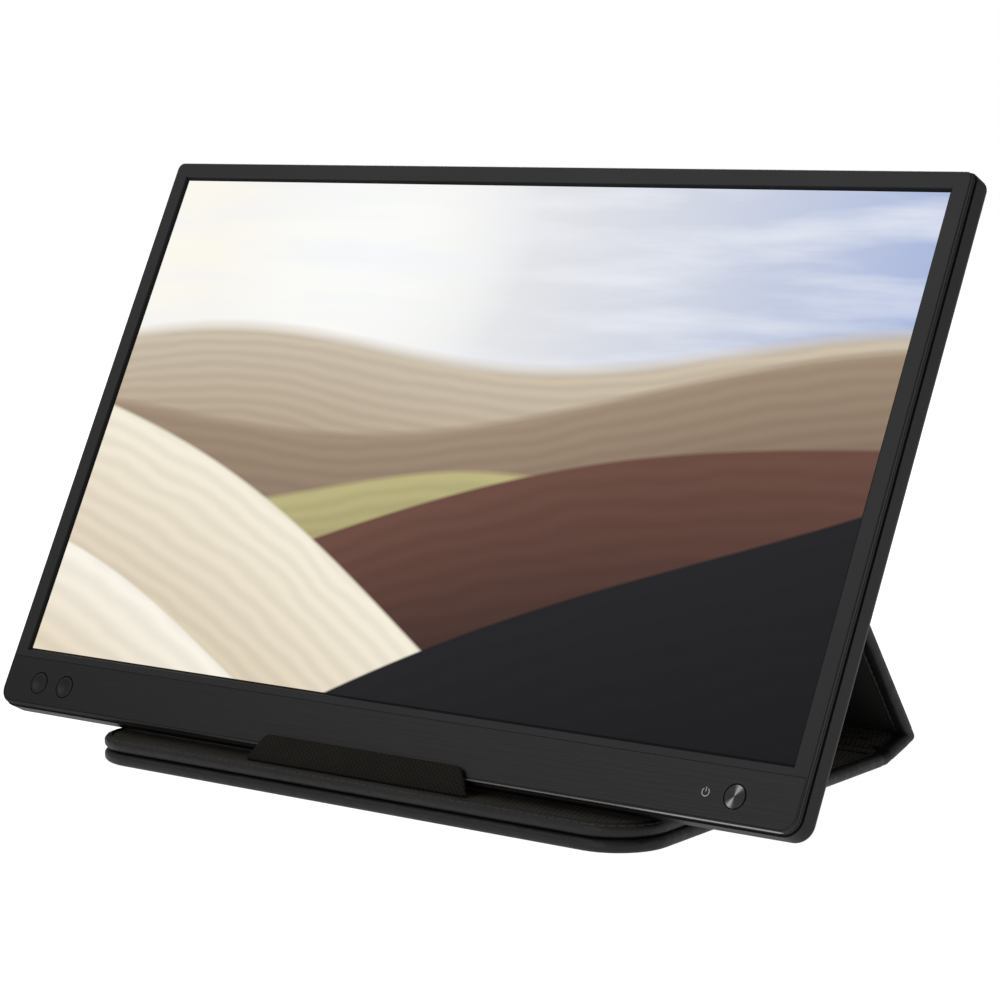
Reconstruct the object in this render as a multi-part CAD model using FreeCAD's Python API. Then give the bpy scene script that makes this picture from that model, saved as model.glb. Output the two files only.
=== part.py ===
import FreeCAD
import Part
import math
import os

# A portable monitor that stands in its folding cover. Lengths are in millimetres,
# +X is to the right seen from the front, +Y runs back and +Z is up from the table.

# Screen and monitor
LIT_WIDTH = 344.2
LIT_HEIGHT = 193.6
SIDE_BORDER = 7.9
TOP_BORDER = 7.7
CHIN_HEIGHT = 22.7
MONITOR_DEPTH = 11.8
MONITOR_TILT = 26.3

# Rear housing
HOUSING_TOP_CORNER = 3.4
HOUSING_BOTTOM_CORNER = 6.4
HOUSING_BACK_ROUND = 3.2
HOUSING_WALL = 1.6
SEAM_GAP = 0.35
POST_RADIUS = 2.5
POST_COLUMN_SHARES = (-0.8, 0.0, 0.8)
POST_ROW_SHARES = (0.15, 0.88)
BACK_RIB_THICKNESS = 1.0
BACK_RIB_HEIGHT = 2.2
BACK_RIB_GAP = 4.0
BACK_RIB_REACH_SHARE = 0.9

# Front bezel
BEZEL_DEPTH = 2.4
BEZEL_INSET = 0.6
BEZEL_EDGE_ROUND = 0.7
BEZEL_LIP = 1.3
EDGE_LINE_START = 1.0
EDGE_LINE_WIDTH = 0.35
EDGE_LINE_DEPTH = 0.4
WINDOW_MARGIN = 0.2
WINDOW_SLOPE = 1.0
SKIRT_REACH = 2.6
SKIRT_WALL = 1.2
SKIRT_CLEARANCE = 0.2
SNAP_LENGTH = 10.0
SNAP_DEPTH = 0.8
SNAP_REACH = 0.5
SNAP_CLEARANCE = 0.3
SNAP_SHARES = (-0.7, -0.25, 0.25, 0.7)

# Chin strip
STRIP_THICKNESS = 0.6
STRIP_INSET = 1.0
STRIP_BELOW_LIT = 3.9
STRIP_TOP_CORNER = 0.8
STRIP_CLEARANCE = 0.15

# Buttons
BUTTON_RADIUS = 3.9
BUTTON_CLEARANCE = 0.35
BUTTON_PROUD = 0.25
BUTTON_EDGE_ROUND = 0.35
BUTTON_FLANGE = 1.0
BUTTON_FLANGE_THICKNESS = 0.6
BUTTON_FLANGE_GAP = 0.15
BUTTON_STEM_RADIUS = 1.2
BUTTON_STEM = 0.4
BUTTON_TRAVEL = 0.6
BUTTON_HEIGHT = 9.6
POWER_FROM_EDGE = 25.2
MENU_FROM_EDGE = 18.7
MENU_SPACING = 13.7
DISH_DEPTH = 0.3
DISH_RADIUS_SHARE = 0.72

# Panel stack, front to back
GLASS_SIDE_MARGIN = 2.9
GLASS_TOP_MARGIN = 3.0
GLASS_BOTTOM_MARGIN = 4.2
GLASS_THICKNESS = 1.0
GLASS_CLEARANCE = 0.4
FILMS_THICKNESS = 0.5
GUIDE_THICKNESS = 0.6
REFLECTOR_THICKNESS = 0.2
TRAY_THICKNESS = 0.4
TRAY_CLEARANCE = 0.2
LED_BAR_HEIGHT = 2.2
LED_LENGTH = 3.0
LED_GAP = 4.0
LED_DEPTH = 0.4

# Circuit boards, sockets and cables
DRIVER_BOARD_WIDTH = 236.0
DRIVER_BOARD_HEIGHT = 10.0
DRIVER_BOARD_THICKNESS = 0.8
DRIVER_BOARD_RISE = 2.0
MAIN_BOARD_WIDTH = 112.0
MAIN_BOARD_HEIGHT = 50.0
MAIN_BOARD_THICKNESS = 1.2
MAIN_BOARD_LOW_SHARE = 0.21
MAIN_BOARD_WALL_GAP = 3.0
MAIN_BOARD_POST_INSET = 4.0
BOARD_POST_RADIUS = 2.1
SHIELD_WIDTH = 42.0
SHIELD_HEIGHT = 30.0
SHIELD_DEPTH = 1.8
SHIELD_PLACE_SHARE = 0.62
SCREW_RADIUS = 0.8
SCREW_CLEARANCE = 0.15
SCREW_HEAD_RADIUS = 1.7
SCREW_HEAD = 0.9
SCREW_GRIP = 1.2
SCREW_SLOT_SHARE = 0.55
SOCKET_WIDTH = 8.94
SOCKET_HEIGHT = 3.26
SOCKET_LENGTH = 8.0
SOCKET_SHELL = 0.3
SOCKET_END_SHARE = 0.48
SOCKET_MOUTH_DEPTH = 6.2
SOCKET_TONGUE_WIDTH = 6.6
SOCKET_TONGUE_THICKNESS = 0.7
SOCKET_TONGUE_LENGTH = 4.6
SOCKET_SETBACK = 0.4
SOCKET_CLEARANCE = 0.25
RIBBON_WIDTH = 16.0
RIBBON_THICKNESS = 0.3
RIBBON_LAP = 6.0
RIBBON_PLACE_SHARE = 0.42
KEY_BOARD_WIDTH = 30.0
POWER_BOARD_WIDTH = 20.0
KEY_BOARD_HEIGHT = 10.0
KEY_BOARD_THICKNESS = 1.0
KEY_POST_RADIUS = 1.6
KEY_POST_INSET = 2.4
SWITCH_SIDE = 4.6
SWITCH_DEPTH = 1.4
SWITCH_PLUNGER_RADIUS = 1.1
SWITCH_PLUNGER = 0.4
SWITCH_GAP = 0.1
FLAT_CABLE_WIDTH = 5.0
FLAT_CABLE_THICKNESS = 0.3
FLAT_CABLE_HEIGHT = 17.0
CATCH_PLATE_WIDTH = 150.0
CATCH_PLATE_HEIGHT = 26.0
CATCH_PLATE_THICKNESS = 0.8

# Cover leaves
COVER_FRONT_WIDTH = 252.5
COVER_REAR_WIDTH = 215.4
LEAF_THICKNESS = 4.6
LEAF_ROUND_SHARE = 0.46
LEAF_RIM = 6.0
SHELF_RIM = 2.9
RIM_ROUND_SHARE = 0.5
BOARD_THICKNESS = 1.6
LINING_THICKNESS = 0.6
LINING_RECESS = 0.4
LINING_CLEARANCE = 0.2
FRONT_CORNER = 19.5
CREASE_CORNER = 2.4
FRONT_REACH = 9.2
BASE_LENGTH = 176.1
SHELF_LENGTH = 76.0
SHELF_GAP = 0.3
SPINE_LENGTH = 17.8
SPINE_RISE = 19.5
PROP_LEAN = 55.0
PROP_TOP_CORNER = 16.0
CREASE_GAP = 0.3
SEAT_CLEARANCE = 0.1
PROP_CLEARANCE = 0.8
MAGNET_LENGTH = 46.0
MAGNET_WIDTH = 9.0
MAGNET_SHARES = (-0.56, 0.0, 0.56)

# Tab that holds the monitor's lower edge
TAB_WIDTH = 100.6
TAB_TOP_WIDTH = 88.4
TAB_LENGTH = 9.2
TAB_THICKNESS = 1.8
TAB_CORNER = 3.2
TAB_OFFSET = 3.1
TAB_CLEARANCE = 0.45
TAB_SEAT_GAP = 0.1

# Sizes that follow from those above
OVERRUN = HOUSING_WALL
EDGE_TOLERANCE = SEAM_GAP / 2
RIGHT_ANGLE = 90.0
MONITOR_WIDTH = LIT_WIDTH + 2 * SIDE_BORDER
MONITOR_HEIGHT = CHIN_HEIGHT + LIT_HEIGHT + TOP_BORDER
HALF_WIDTH = MONITOR_WIDTH / 2
LIT_TOP = CHIN_HEIGHT + LIT_HEIGHT
HOUSING_FRONT = BEZEL_DEPTH + SEAM_GAP
HOUSING_FLOOR = MONITOR_DEPTH - HOUSING_WALL
GLASS_HALF = LIT_WIDTH / 2 + GLASS_SIDE_MARGIN
GLASS_LOW = CHIN_HEIGHT - GLASS_BOTTOM_MARGIN
GLASS_HIGH = LIT_TOP + GLASS_TOP_MARGIN
GLASS_BACK = BEZEL_LIP + GLASS_THICKNESS
FILMS_BACK = GLASS_BACK + FILMS_THICKNESS
GUIDE_BACK = FILMS_BACK + GUIDE_THICKNESS
REFLECTOR_BACK = GUIDE_BACK + REFLECTOR_THICKNESS
TRAY_BACK = REFLECTOR_BACK + TRAY_THICKNESS
SHEET_INSET = TRAY_THICKNESS + TRAY_CLEARANCE
STRIP_TOP = CHIN_HEIGHT - STRIP_BELOW_LIT
STRIP_LOW = BEZEL_INSET + STRIP_INSET
STRIP_HALF = HALF_WIDTH - BEZEL_INSET - STRIP_INSET
STRIP_CORNER = HOUSING_BOTTOM_CORNER - BEZEL_INSET - STRIP_INSET
FLANGE_FRONT = BEZEL_DEPTH + BUTTON_FLANGE_GAP
FLANGE_BACK = FLANGE_FRONT + BUTTON_FLANGE_THICKNESS
STEM_BACK = FLANGE_BACK + BUTTON_STEM
PLUNGER_FRONT = STEM_BACK + BUTTON_TRAVEL + SWITCH_GAP
KEY_BOARD_FRONT = PLUNGER_FRONT + SWITCH_PLUNGER + SWITCH_DEPTH
KEY_BOARD_BACK = KEY_BOARD_FRONT + KEY_BOARD_THICKNESS
POWER_X = HALF_WIDTH - POWER_FROM_EDGE
MENU_OUTER_X = MENU_FROM_EDGE - HALF_WIDTH
MENU_INNER_X = MENU_OUTER_X + MENU_SPACING
MENU_MIDDLE_X = (MENU_OUTER_X + MENU_INNER_X) / 2
MAIN_BOARD_LEFT = MAIN_BOARD_WALL_GAP + HOUSING_WALL - HALF_WIDTH
MAIN_BOARD_LOW = MONITOR_HEIGHT * MAIN_BOARD_LOW_SHARE
SOCKET_FROM_FRONT = TRAY_BACK + SOCKET_CLEARANCE + SOCKET_HEIGHT / 2
MAIN_BOARD_FRONT = SOCKET_FROM_FRONT + SOCKET_HEIGHT / 2
MAIN_BOARD_BACK = MAIN_BOARD_FRONT + MAIN_BOARD_THICKNESS
SOCKET_MIDDLE = MAIN_BOARD_LOW + MAIN_BOARD_HEIGHT / 2
DRIVER_BOARD_LOW = GLASS_LOW + DRIVER_BOARD_RISE
DRIVER_BOARD_BACK = TRAY_BACK + DRIVER_BOARD_THICKNESS
RIBBON_X = MAIN_BOARD_LEFT + MAIN_BOARD_WIDTH - MAIN_BOARD_WIDTH * RIBBON_PLACE_SHARE

HALF_LEAF = LEAF_THICKNESS / 2
LEAF_ROUND = LEAF_THICKNESS * LEAF_ROUND_SHARE
POCKET_DEPTH = BOARD_THICKNESS + LINING_THICKNESS + LINING_RECESS
LEAF_END = HALF_LEAF + CREASE_GAP
SHELF_BOTTOM = LEAF_THICKNESS + SHELF_GAP
SHELF_MIDDLE = SHELF_BOTTOM + HALF_LEAF
SHELF_LINING_TOP = SHELF_BOTTOM + LEAF_THICKNESS - LINING_RECESS
TILT = math.radians(MONITOR_TILT)
TILT_SIN = math.sin(TILT)
TILT_COS = math.cos(TILT)
MONITOR_LOWEST = SHELF_BOTTOM + LEAF_THICKNESS + SEAT_CLEARANCE
MONITOR_EDGE_Z = (
    MONITOR_LOWEST
    + (MONITOR_DEPTH - HOUSING_BACK_ROUND) * TILT_SIN
    + HOUSING_BACK_ROUND * (1 - TILT_COS)
)
# The origin is under the middle of the base leaf, and the monitor's front lower edge is
# FRONT_REACH behind the cover's front edge.
COVER_FRONT_Y = -BASE_LENGTH / 2
MONITOR_EDGE_Y = COVER_FRONT_Y + FRONT_REACH
BASE_CREASE_Y = COVER_FRONT_Y + BASE_LENGTH
BASE_CREASE_Z = HALF_LEAF
SPINE_ANGLE = math.radians(SPINE_RISE)
REAR_CREASE_Y = BASE_CREASE_Y + SPINE_LENGTH * math.cos(SPINE_ANGLE)
REAR_CREASE_Z = BASE_CREASE_Z + SPINE_LENGTH * math.sin(SPINE_ANGLE)
PROP_TURN = 2 * RIGHT_ANGLE - PROP_LEAN


def leaf_half_width(length):
    """Half the cover's width at a distance from its front edge."""
    share = min(length / BASE_LENGTH, 1)
    return (COVER_FRONT_WIDTH + (COVER_REAR_WIDTH - COVER_FRONT_WIDTH) * share) / 2


def prop_length():
    """Length at which the prop's rounded top edge stops just behind the monitor's back."""
    turn = math.radians(PROP_TURN)
    toward_y, toward_z = -TILT_COS, TILT_SIN
    along = math.cos(turn) * toward_y + math.sin(turn) * toward_z
    inward = -math.sin(turn) * toward_y + math.cos(turn) * toward_z
    from_edge = (MONITOR_EDGE_Y - REAR_CREASE_Y) * toward_y
    from_edge += (MONITOR_EDGE_Z - REAR_CREASE_Z) * toward_z
    to_back = from_edge - MONITOR_DEPTH
    reach = to_back - PROP_CLEARANCE - LEAF_ROUND
    reach -= (HALF_LEAF - LEAF_ROUND) * inward
    return reach / along + LEAF_ROUND


PROP_LENGTH = prop_length()
PROP_TOP_Z = REAR_CREASE_Z + PROP_LENGTH * math.sin(math.radians(PROP_LEAN))
PROP_REACH_UP = (PROP_TOP_Z - MONITOR_EDGE_Z) / TILT_COS
TAB_FACE = TAB_CLEARANCE + TAB_THICKNESS / 2
TAB_HINGE_Z = SHELF_LINING_TOP + TAB_SEAT_GAP + TAB_THICKNESS / 2
TAB_HINGE_UP = (TAB_HINGE_Z - MONITOR_EDGE_Z - TAB_FACE * TILT_SIN) / TILT_COS
TAB_HINGE_Y = MONITOR_EDGE_Y + TAB_HINGE_UP * TILT_SIN - TAB_FACE * TILT_COS


def outline(points, radii):
    """Closed wire in the XY plane with each corner rounded to its own radius."""
    count = len(points)
    corners = [FreeCAD.Vector(x, y, 0) for x, y in points]
    starts, ends, bends = [], [], []
    for i, corner in enumerate(corners):
        before = (corners[i - 1] - corner).normalize()
        after = (corners[(i + 1) % count] - corner).normalize()
        half = before.getAngle(after) / 2
        inward = (before + after).normalize()
        starts.append(corner + before * (radii[i] / math.tan(half)))
        ends.append(corner + after * (radii[i] / math.tan(half)))
        bends.append(corner + inward * (radii[i] / math.sin(half) - radii[i]))
    edges = []
    for i in range(count):
        if radii[i]:
            edges.append(Part.Arc(starts[i], bends[i], ends[i]).toShape())
        edges.append(Part.makeLine(ends[i], starts[(i + 1) % count]))
    return Part.Wire(edges)


def rectangle(half_width, low, high):
    """Corner points of a rectangle that is centred in X."""
    return [(-half_width, low), (half_width, low), (half_width, high), (-half_width, high)]


def prism(wire, bottom, top):
    """Solid between two heights over an outline."""
    face = Part.Face(wire)
    face.translate(FreeCAD.Vector(0, 0, bottom))
    return face.extrude(FreeCAD.Vector(0, 0, top - bottom))


def plate(half_width, low, high, front, back):
    """Square plate of the monitor, front and back counted from the bezel's face."""
    return prism(outline(rectangle(half_width, low, high), [0] * 4), -back, -front)


def housing_plate(inset, front, back):
    """Plate of the monitor's whole outline, drawn in by an inset."""
    points = rectangle(HALF_WIDTH - inset, inset, MONITOR_HEIGHT - inset)
    radii = [HOUSING_BOTTOM_CORNER - inset] * 2 + [HOUSING_TOP_CORNER - inset] * 2
    return prism(outline(points, radii), -back, -front)


def block(x_low, x_high, y_low, y_high, front, back):
    """Plain block of the monitor, front and back counted from the bezel's face."""
    corner = FreeCAD.Vector(x_low, y_low, -back)
    return Part.makeBox(x_high - x_low, y_high - y_low, back - front, corner)


def post(x, y, radius, front, back):
    """Round post of the monitor, front and back counted from the bezel's face."""
    return Part.makeCylinder(radius, back - front, FreeCAD.Vector(x, y, -back))


def edges_at(shape, height):
    """Edges of a shape that lie wholly at one height."""
    found = []
    for edge in shape.Edges:
        box = edge.BoundBox
        if math.isclose(box.ZMin, height, abs_tol=EDGE_TOLERANCE) and math.isclose(
            box.ZMax, height, abs_tol=EDGE_TOLERANCE
        ):
            found.append(edge)
    return found


def on_stand(shape):
    """Lean a piece of the monitor back and seat it on the shelf leaf."""
    spin = FreeCAD.Rotation(FreeCAD.Vector(1, 0, 0), RIGHT_ANGLE - MONITOR_TILT)
    shape.Placement = FreeCAD.Placement(
        FreeCAD.Vector(0, MONITOR_EDGE_Y, MONITOR_EDGE_Z), spin
    )
    return shape


def folded(shape, crease_y, crease_z, turn):
    """Turn a leaf that was drawn flat about its crease and move it there."""
    spin = FreeCAD.Rotation(FreeCAD.Vector(1, 0, 0), turn)
    shape.Placement = FreeCAD.Placement(FreeCAD.Vector(0, crease_y, crease_z), spin)
    return shape


def panel_post_places():
    return [
        (HALF_WIDTH * column, MONITOR_HEIGHT * row)
        for column in POST_COLUMN_SHARES
        for row in POST_ROW_SHARES
    ]


def main_board_post_places():
    left = MAIN_BOARD_LEFT + MAIN_BOARD_POST_INSET
    right = MAIN_BOARD_LEFT + MAIN_BOARD_WIDTH - MAIN_BOARD_POST_INSET
    low = MAIN_BOARD_LOW + MAIN_BOARD_POST_INSET
    high = MAIN_BOARD_LOW + MAIN_BOARD_HEIGHT - MAIN_BOARD_POST_INSET
    return [(left, low), (right, low), (right, high), (left, high)]


def back_rib_places():
    beside = CATCH_PLATE_HEIGHT / 2 + BACK_RIB_GAP
    return [PROP_REACH_UP - beside - BACK_RIB_THICKNESS, PROP_REACH_UP + beside]


def key_post_places():
    menu_reach = KEY_BOARD_WIDTH / 2 - KEY_POST_INSET
    power_reach = POWER_BOARD_WIDTH / 2 - KEY_POST_INSET
    return [
        (MENU_MIDDLE_X - menu_reach, BUTTON_HEIGHT),
        (MENU_MIDDLE_X + menu_reach, BUTTON_HEIGHT),
        (POWER_X - power_reach, BUTTON_HEIGHT),
        (POWER_X + power_reach, BUTTON_HEIGHT),
    ]


def button_places():
    return [POWER_X, MENU_OUTER_X, MENU_INNER_X]


def socket_bar(width, height, x_low, x_high):
    """Bar with round ends across its width, lying along X at the socket's place."""
    half = width / 2
    ends = [height * SOCKET_END_SHARE] * 4
    bar = prism(outline(rectangle(height / 2, -half, half), ends), x_low, x_high)
    bar.rotate(FreeCAD.Vector(0, 0, 0), FreeCAD.Vector(0, 1, 0), RIGHT_ANGLE)
    bar.translate(FreeCAD.Vector(0, SOCKET_MIDDLE, -SOCKET_FROM_FRONT))
    return bar


def snap_places(half_length):
    return [half_length * share for share in SNAP_SHARES]


def rear_housing():
    """Moulded tray with a rounded back edge, posts, ribs and the socket's opening."""
    shell = housing_plate(0, HOUSING_FRONT, MONITOR_DEPTH)
    shell = shell.makeFillet(HOUSING_BACK_ROUND, edges_at(shell, -MONITOR_DEPTH))
    hollow = housing_plate(HOUSING_WALL, HOUSING_FRONT - OVERRUN, HOUSING_FLOOR)
    inner_round = HOUSING_BACK_ROUND - HOUSING_WALL
    hollow = hollow.makeFillet(inner_round, edges_at(hollow, -HOUSING_FLOOR))
    shell = shell.cut(hollow)
    into_wall = HOUSING_FLOOR + HOUSING_WALL / 2
    posts = [post(x, y, POST_RADIUS, TRAY_BACK, into_wall) for x, y in panel_post_places()]
    for x, y in main_board_post_places():
        posts.append(post(x, y, BOARD_POST_RADIUS, MAIN_BOARD_BACK, into_wall))
    for x, y in key_post_places():
        posts.append(post(x, y, KEY_POST_RADIUS, KEY_BOARD_BACK, into_wall))
    reach = HALF_WIDTH * BACK_RIB_REACH_SHARE
    for low in back_rib_places():
        front = HOUSING_FLOOR - BACK_RIB_HEIGHT
        posts.append(block(-reach, reach, low, low + BACK_RIB_THICKNESS, front, into_wall))
    shell = shell.fuse(posts)
    cuts = [socket_opening()] + snap_blocks(SNAP_CLEARANCE)
    screw_room = SCREW_RADIUS + SCREW_CLEARANCE
    for x, y in main_board_post_places():
        cuts.append(post(x, y, screw_room, MAIN_BOARD_BACK, MAIN_BOARD_BACK + SCREW_GRIP))
    return shell.cut(cuts).removeSplitter()


def socket_opening():
    """Cutter for the socket's mouth in the left wall and the bezel's skirt."""
    room = 2 * SOCKET_CLEARANCE
    outside = -HALF_WIDTH - OVERRUN
    inside = HOUSING_WALL + OVERRUN - HALF_WIDTH
    return socket_bar(SOCKET_WIDTH + room, SOCKET_HEIGHT + room, outside, inside)


def snap_blocks(clearance):
    """Catches on the bezel's skirt, or with clearance the notches they click into."""
    half = SNAP_LENGTH / 2 + clearance
    reach = HALF_WIDTH - HOUSING_WALL - SKIRT_CLEARANCE - SKIRT_WALL / 2
    tip = HALF_WIDTH - HOUSING_WALL + SNAP_REACH + clearance
    front = BEZEL_DEPTH + SKIRT_REACH - SNAP_DEPTH - clearance
    back = BEZEL_DEPTH + SKIRT_REACH + clearance
    top_reach = MONITOR_HEIGHT - HALF_WIDTH + reach
    top_tip = MONITOR_HEIGHT - HALF_WIDTH + tip
    blocks = []
    for x in snap_places(HALF_WIDTH):
        blocks.append(block(x - half, x + half, top_reach, top_tip, front, back))
    return blocks


def front_bezel():
    """Front frame with a sloped window, a recess for the chin strip and a snap-in skirt."""
    frame = housing_plate(BEZEL_INSET, 0, BEZEL_DEPTH)
    frame = frame.makeFillet(BEZEL_EDGE_ROUND, edges_at(frame, 0))
    inset = HOUSING_WALL + SKIRT_CLEARANCE
    skirt_back = BEZEL_DEPTH + SKIRT_REACH
    skirt = housing_plate(inset, BEZEL_DEPTH, skirt_back)
    hollow = housing_plate(inset + SKIRT_WALL, BEZEL_DEPTH, skirt_back + OVERRUN)
    frame = frame.fuse([skirt.cut(hollow)] + snap_blocks(0))
    cuts = [window(), glass_pocket(), chin_recess(), socket_opening(), edge_line()]
    for x in button_places():
        hole = BUTTON_RADIUS + BUTTON_CLEARANCE
        cuts.append(post(x, BUTTON_HEIGHT, hole, -OVERRUN, skirt_back))
    return frame.cut(cuts).removeSplitter()


def edge_line():
    """Cutter for the fine line that runs round the bezel's side."""
    back = EDGE_LINE_START + EDGE_LINE_WIDTH
    outer = housing_plate(0, EDGE_LINE_START, back)
    inner = housing_plate(BEZEL_INSET + EDGE_LINE_DEPTH, EDGE_LINE_START, back)
    return outer.cut(inner)


def window():
    """Cutter for the screen's window, wider at the face than at the glass."""
    near = WINDOW_MARGIN
    far = WINDOW_MARGIN + WINDOW_SLOPE
    sections = []
    for margin, depth in ((near, BEZEL_LIP), (far, 0)):
        points = rectangle(LIT_WIDTH / 2 + margin, CHIN_HEIGHT - margin, LIT_TOP + margin)
        wire = Part.makePolygon([FreeCAD.Vector(x, y, -depth) for x, y in points + points[:1]])
        sections.append(wire)
    slope = Part.makeLoft(sections, True, True)
    low, high = CHIN_HEIGHT - near, LIT_TOP + near
    return slope.fuse(plate(LIT_WIDTH / 2 + near, low, high, -OVERRUN, BEZEL_DEPTH))


def glass_pocket():
    """Cutter for the room behind the bezel's lip that takes the panel."""
    low = GLASS_LOW - GLASS_CLEARANCE
    high = GLASS_HIGH + GLASS_CLEARANCE
    return plate(GLASS_HALF + GLASS_CLEARANCE, low, high, BEZEL_LIP, BEZEL_DEPTH + OVERRUN)


def chin_shape(grow, front, back):
    """Outline of the chin strip, grown for its recess, over a depth."""
    points = rectangle(STRIP_HALF + grow, STRIP_LOW - grow, STRIP_TOP + grow)
    corners = [STRIP_CORNER + grow] * 2 + [STRIP_TOP_CORNER] * 2
    return prism(outline(points, corners), -back, -front)


def chin_recess():
    return chin_shape(STRIP_CLEARANCE, -OVERRUN, STRIP_THICKNESS)


def chin_strip():
    """Brushed strip under the screen with its three button holes."""
    strip = chin_shape(0, 0, STRIP_THICKNESS)
    radius = BUTTON_RADIUS + BUTTON_CLEARANCE
    holes = [post(x, BUTTON_HEIGHT, radius, -OVERRUN, BEZEL_DEPTH) for x in button_places()]
    return strip.cut(holes)


def button(x):
    """Button with a rounded edge, a flange that keeps it in and a stem to its switch."""
    cap = post(x, BUTTON_HEIGHT, BUTTON_RADIUS, -BUTTON_PROUD, FLANGE_FRONT)
    cap = cap.makeFillet(BUTTON_EDGE_ROUND, edges_at(cap, BUTTON_PROUD))
    flange = post(x, BUTTON_HEIGHT, BUTTON_RADIUS + BUTTON_FLANGE, FLANGE_FRONT, FLANGE_BACK)
    stem = post(x, BUTTON_HEIGHT, BUTTON_STEM_RADIUS, FLANGE_BACK, STEM_BACK)
    return cap.fuse([flange, stem]).removeSplitter()


def menu_button(x):
    """Menu button with a shallow finger dish in its face."""
    rim = BUTTON_RADIUS * DISH_RADIUS_SHARE
    ball_radius = (rim * rim + DISH_DEPTH * DISH_DEPTH) / (2 * DISH_DEPTH)
    centre = FreeCAD.Vector(x, BUTTON_HEIGHT, BUTTON_PROUD + ball_radius - DISH_DEPTH)
    return button(x).cut(Part.makeSphere(ball_radius, centre))


def panel_glass():
    return plate(GLASS_HALF, GLASS_LOW, GLASS_HIGH, BEZEL_LIP, GLASS_BACK)


def panel_sheet(front, back, rise):
    """Sheet of the panel's stack inside the tray's walls, its lower edge raised."""
    return plate(GLASS_HALF - SHEET_INSET, GLASS_LOW + SHEET_INSET + rise, GLASS_HIGH - SHEET_INSET,
                 front, back)


def panel_tray():
    """Thin steel tray that holds the panel's sheets."""
    tray = plate(GLASS_HALF, GLASS_LOW, GLASS_HIGH, GLASS_BACK, TRAY_BACK)
    low = GLASS_LOW + TRAY_THICKNESS
    high = GLASS_HIGH - TRAY_THICKNESS
    front = GLASS_BACK - OVERRUN
    return tray.cut(plate(GLASS_HALF - TRAY_THICKNESS, low, high, front, REFLECTOR_BACK))


def led_bar():
    """Strip of light-emitting diodes along the light guide's lower edge."""
    half = GLASS_HALF - SHEET_INSET
    low = GLASS_LOW + SHEET_INSET
    high = low + LED_BAR_HEIGHT - TRAY_CLEARANCE
    bar = block(-half, half, low, high - LED_DEPTH, FILMS_BACK, GUIDE_BACK)
    pitch = LED_LENGTH + LED_GAP
    count = int((2 * half - LED_GAP) / pitch)
    start = -count * pitch / 2
    lamps = []
    for i in range(count):
        left = start + i * pitch + LED_GAP / 2
        lamps.append(block(left, left + LED_LENGTH, high - LED_DEPTH, high, FILMS_BACK, GUIDE_BACK))
    return bar.fuse(lamps).removeSplitter()


def driver_board():
    half = DRIVER_BOARD_WIDTH / 2
    return block(-half, half, DRIVER_BOARD_LOW, DRIVER_BOARD_LOW + DRIVER_BOARD_HEIGHT,
                 TRAY_BACK, DRIVER_BOARD_BACK)


def main_board():
    """Main board with holes for its screws."""
    board = block(MAIN_BOARD_LEFT, MAIN_BOARD_LEFT + MAIN_BOARD_WIDTH, MAIN_BOARD_LOW,
                  MAIN_BOARD_LOW + MAIN_BOARD_HEIGHT, MAIN_BOARD_FRONT, MAIN_BOARD_BACK)
    room = SCREW_RADIUS + SCREW_CLEARANCE
    places = main_board_post_places()
    return board.cut([post(x, y, room, MAIN_BOARD_FRONT, MAIN_BOARD_BACK) for x, y in places])


def board_shield():
    """Sheet-metal can over the main board's chips."""
    left = MAIN_BOARD_LEFT + MAIN_BOARD_WIDTH * SHIELD_PLACE_SHARE - SHIELD_WIDTH / 2
    low = SOCKET_MIDDLE - SHIELD_HEIGHT / 2
    front = MAIN_BOARD_FRONT - SHIELD_DEPTH
    can = block(left, left + SHIELD_WIDTH, low, low + SHIELD_HEIGHT, front, MAIN_BOARD_FRONT)
    wall = TRAY_THICKNESS
    room = block(left + wall, left + SHIELD_WIDTH - wall, low + wall, low + SHIELD_HEIGHT - wall,
                 front + wall, MAIN_BOARD_FRONT)
    return can.cut(room)


def board_screws():
    """The four cross-slotted screws that hold the main board."""
    screws = []
    for x, y in main_board_post_places():
        head_front = MAIN_BOARD_FRONT - SCREW_HEAD
        head = post(x, y, SCREW_HEAD_RADIUS, head_front, MAIN_BOARD_FRONT)
        shank = post(x, y, SCREW_RADIUS, MAIN_BOARD_FRONT, MAIN_BOARD_BACK + SCREW_GRIP)
        reach = SCREW_HEAD_RADIUS * SCREW_SLOT_SHARE
        half = SCREW_CLEARANCE
        depth = head_front + SCREW_HEAD / 2
        across = block(x - reach, x + reach, y - half, y + half, head_front, depth)
        along = block(x - half, x + half, y - reach, y + reach, head_front, depth)
        screws.append(head.fuse(shank).cut([across, along]))
    return Part.makeCompound(screws)


def usb_socket():
    """Shell of the socket with its mouth to the left and the contact tongue inside."""
    mouth = SOCKET_SETBACK - HALF_WIDTH
    shell = socket_bar(SOCKET_WIDTH, SOCKET_HEIGHT, mouth, mouth + SOCKET_LENGTH)
    room = socket_bar(SOCKET_WIDTH - 2 * SOCKET_SHELL, SOCKET_HEIGHT - 2 * SOCKET_SHELL,
                      mouth - OVERRUN, mouth + SOCKET_MOUTH_DEPTH)
    inner = mouth + SOCKET_MOUTH_DEPTH
    half_width = SOCKET_TONGUE_WIDTH / 2
    half = SOCKET_TONGUE_THICKNESS / 2
    tongue = block(inner - SOCKET_TONGUE_LENGTH, inner + SOCKET_SHELL, SOCKET_MIDDLE - half_width,
                   SOCKET_MIDDLE + half_width, SOCKET_FROM_FRONT - half, SOCKET_FROM_FRONT + half)
    return shell.cut(room).fuse(tongue).removeSplitter()


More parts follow.
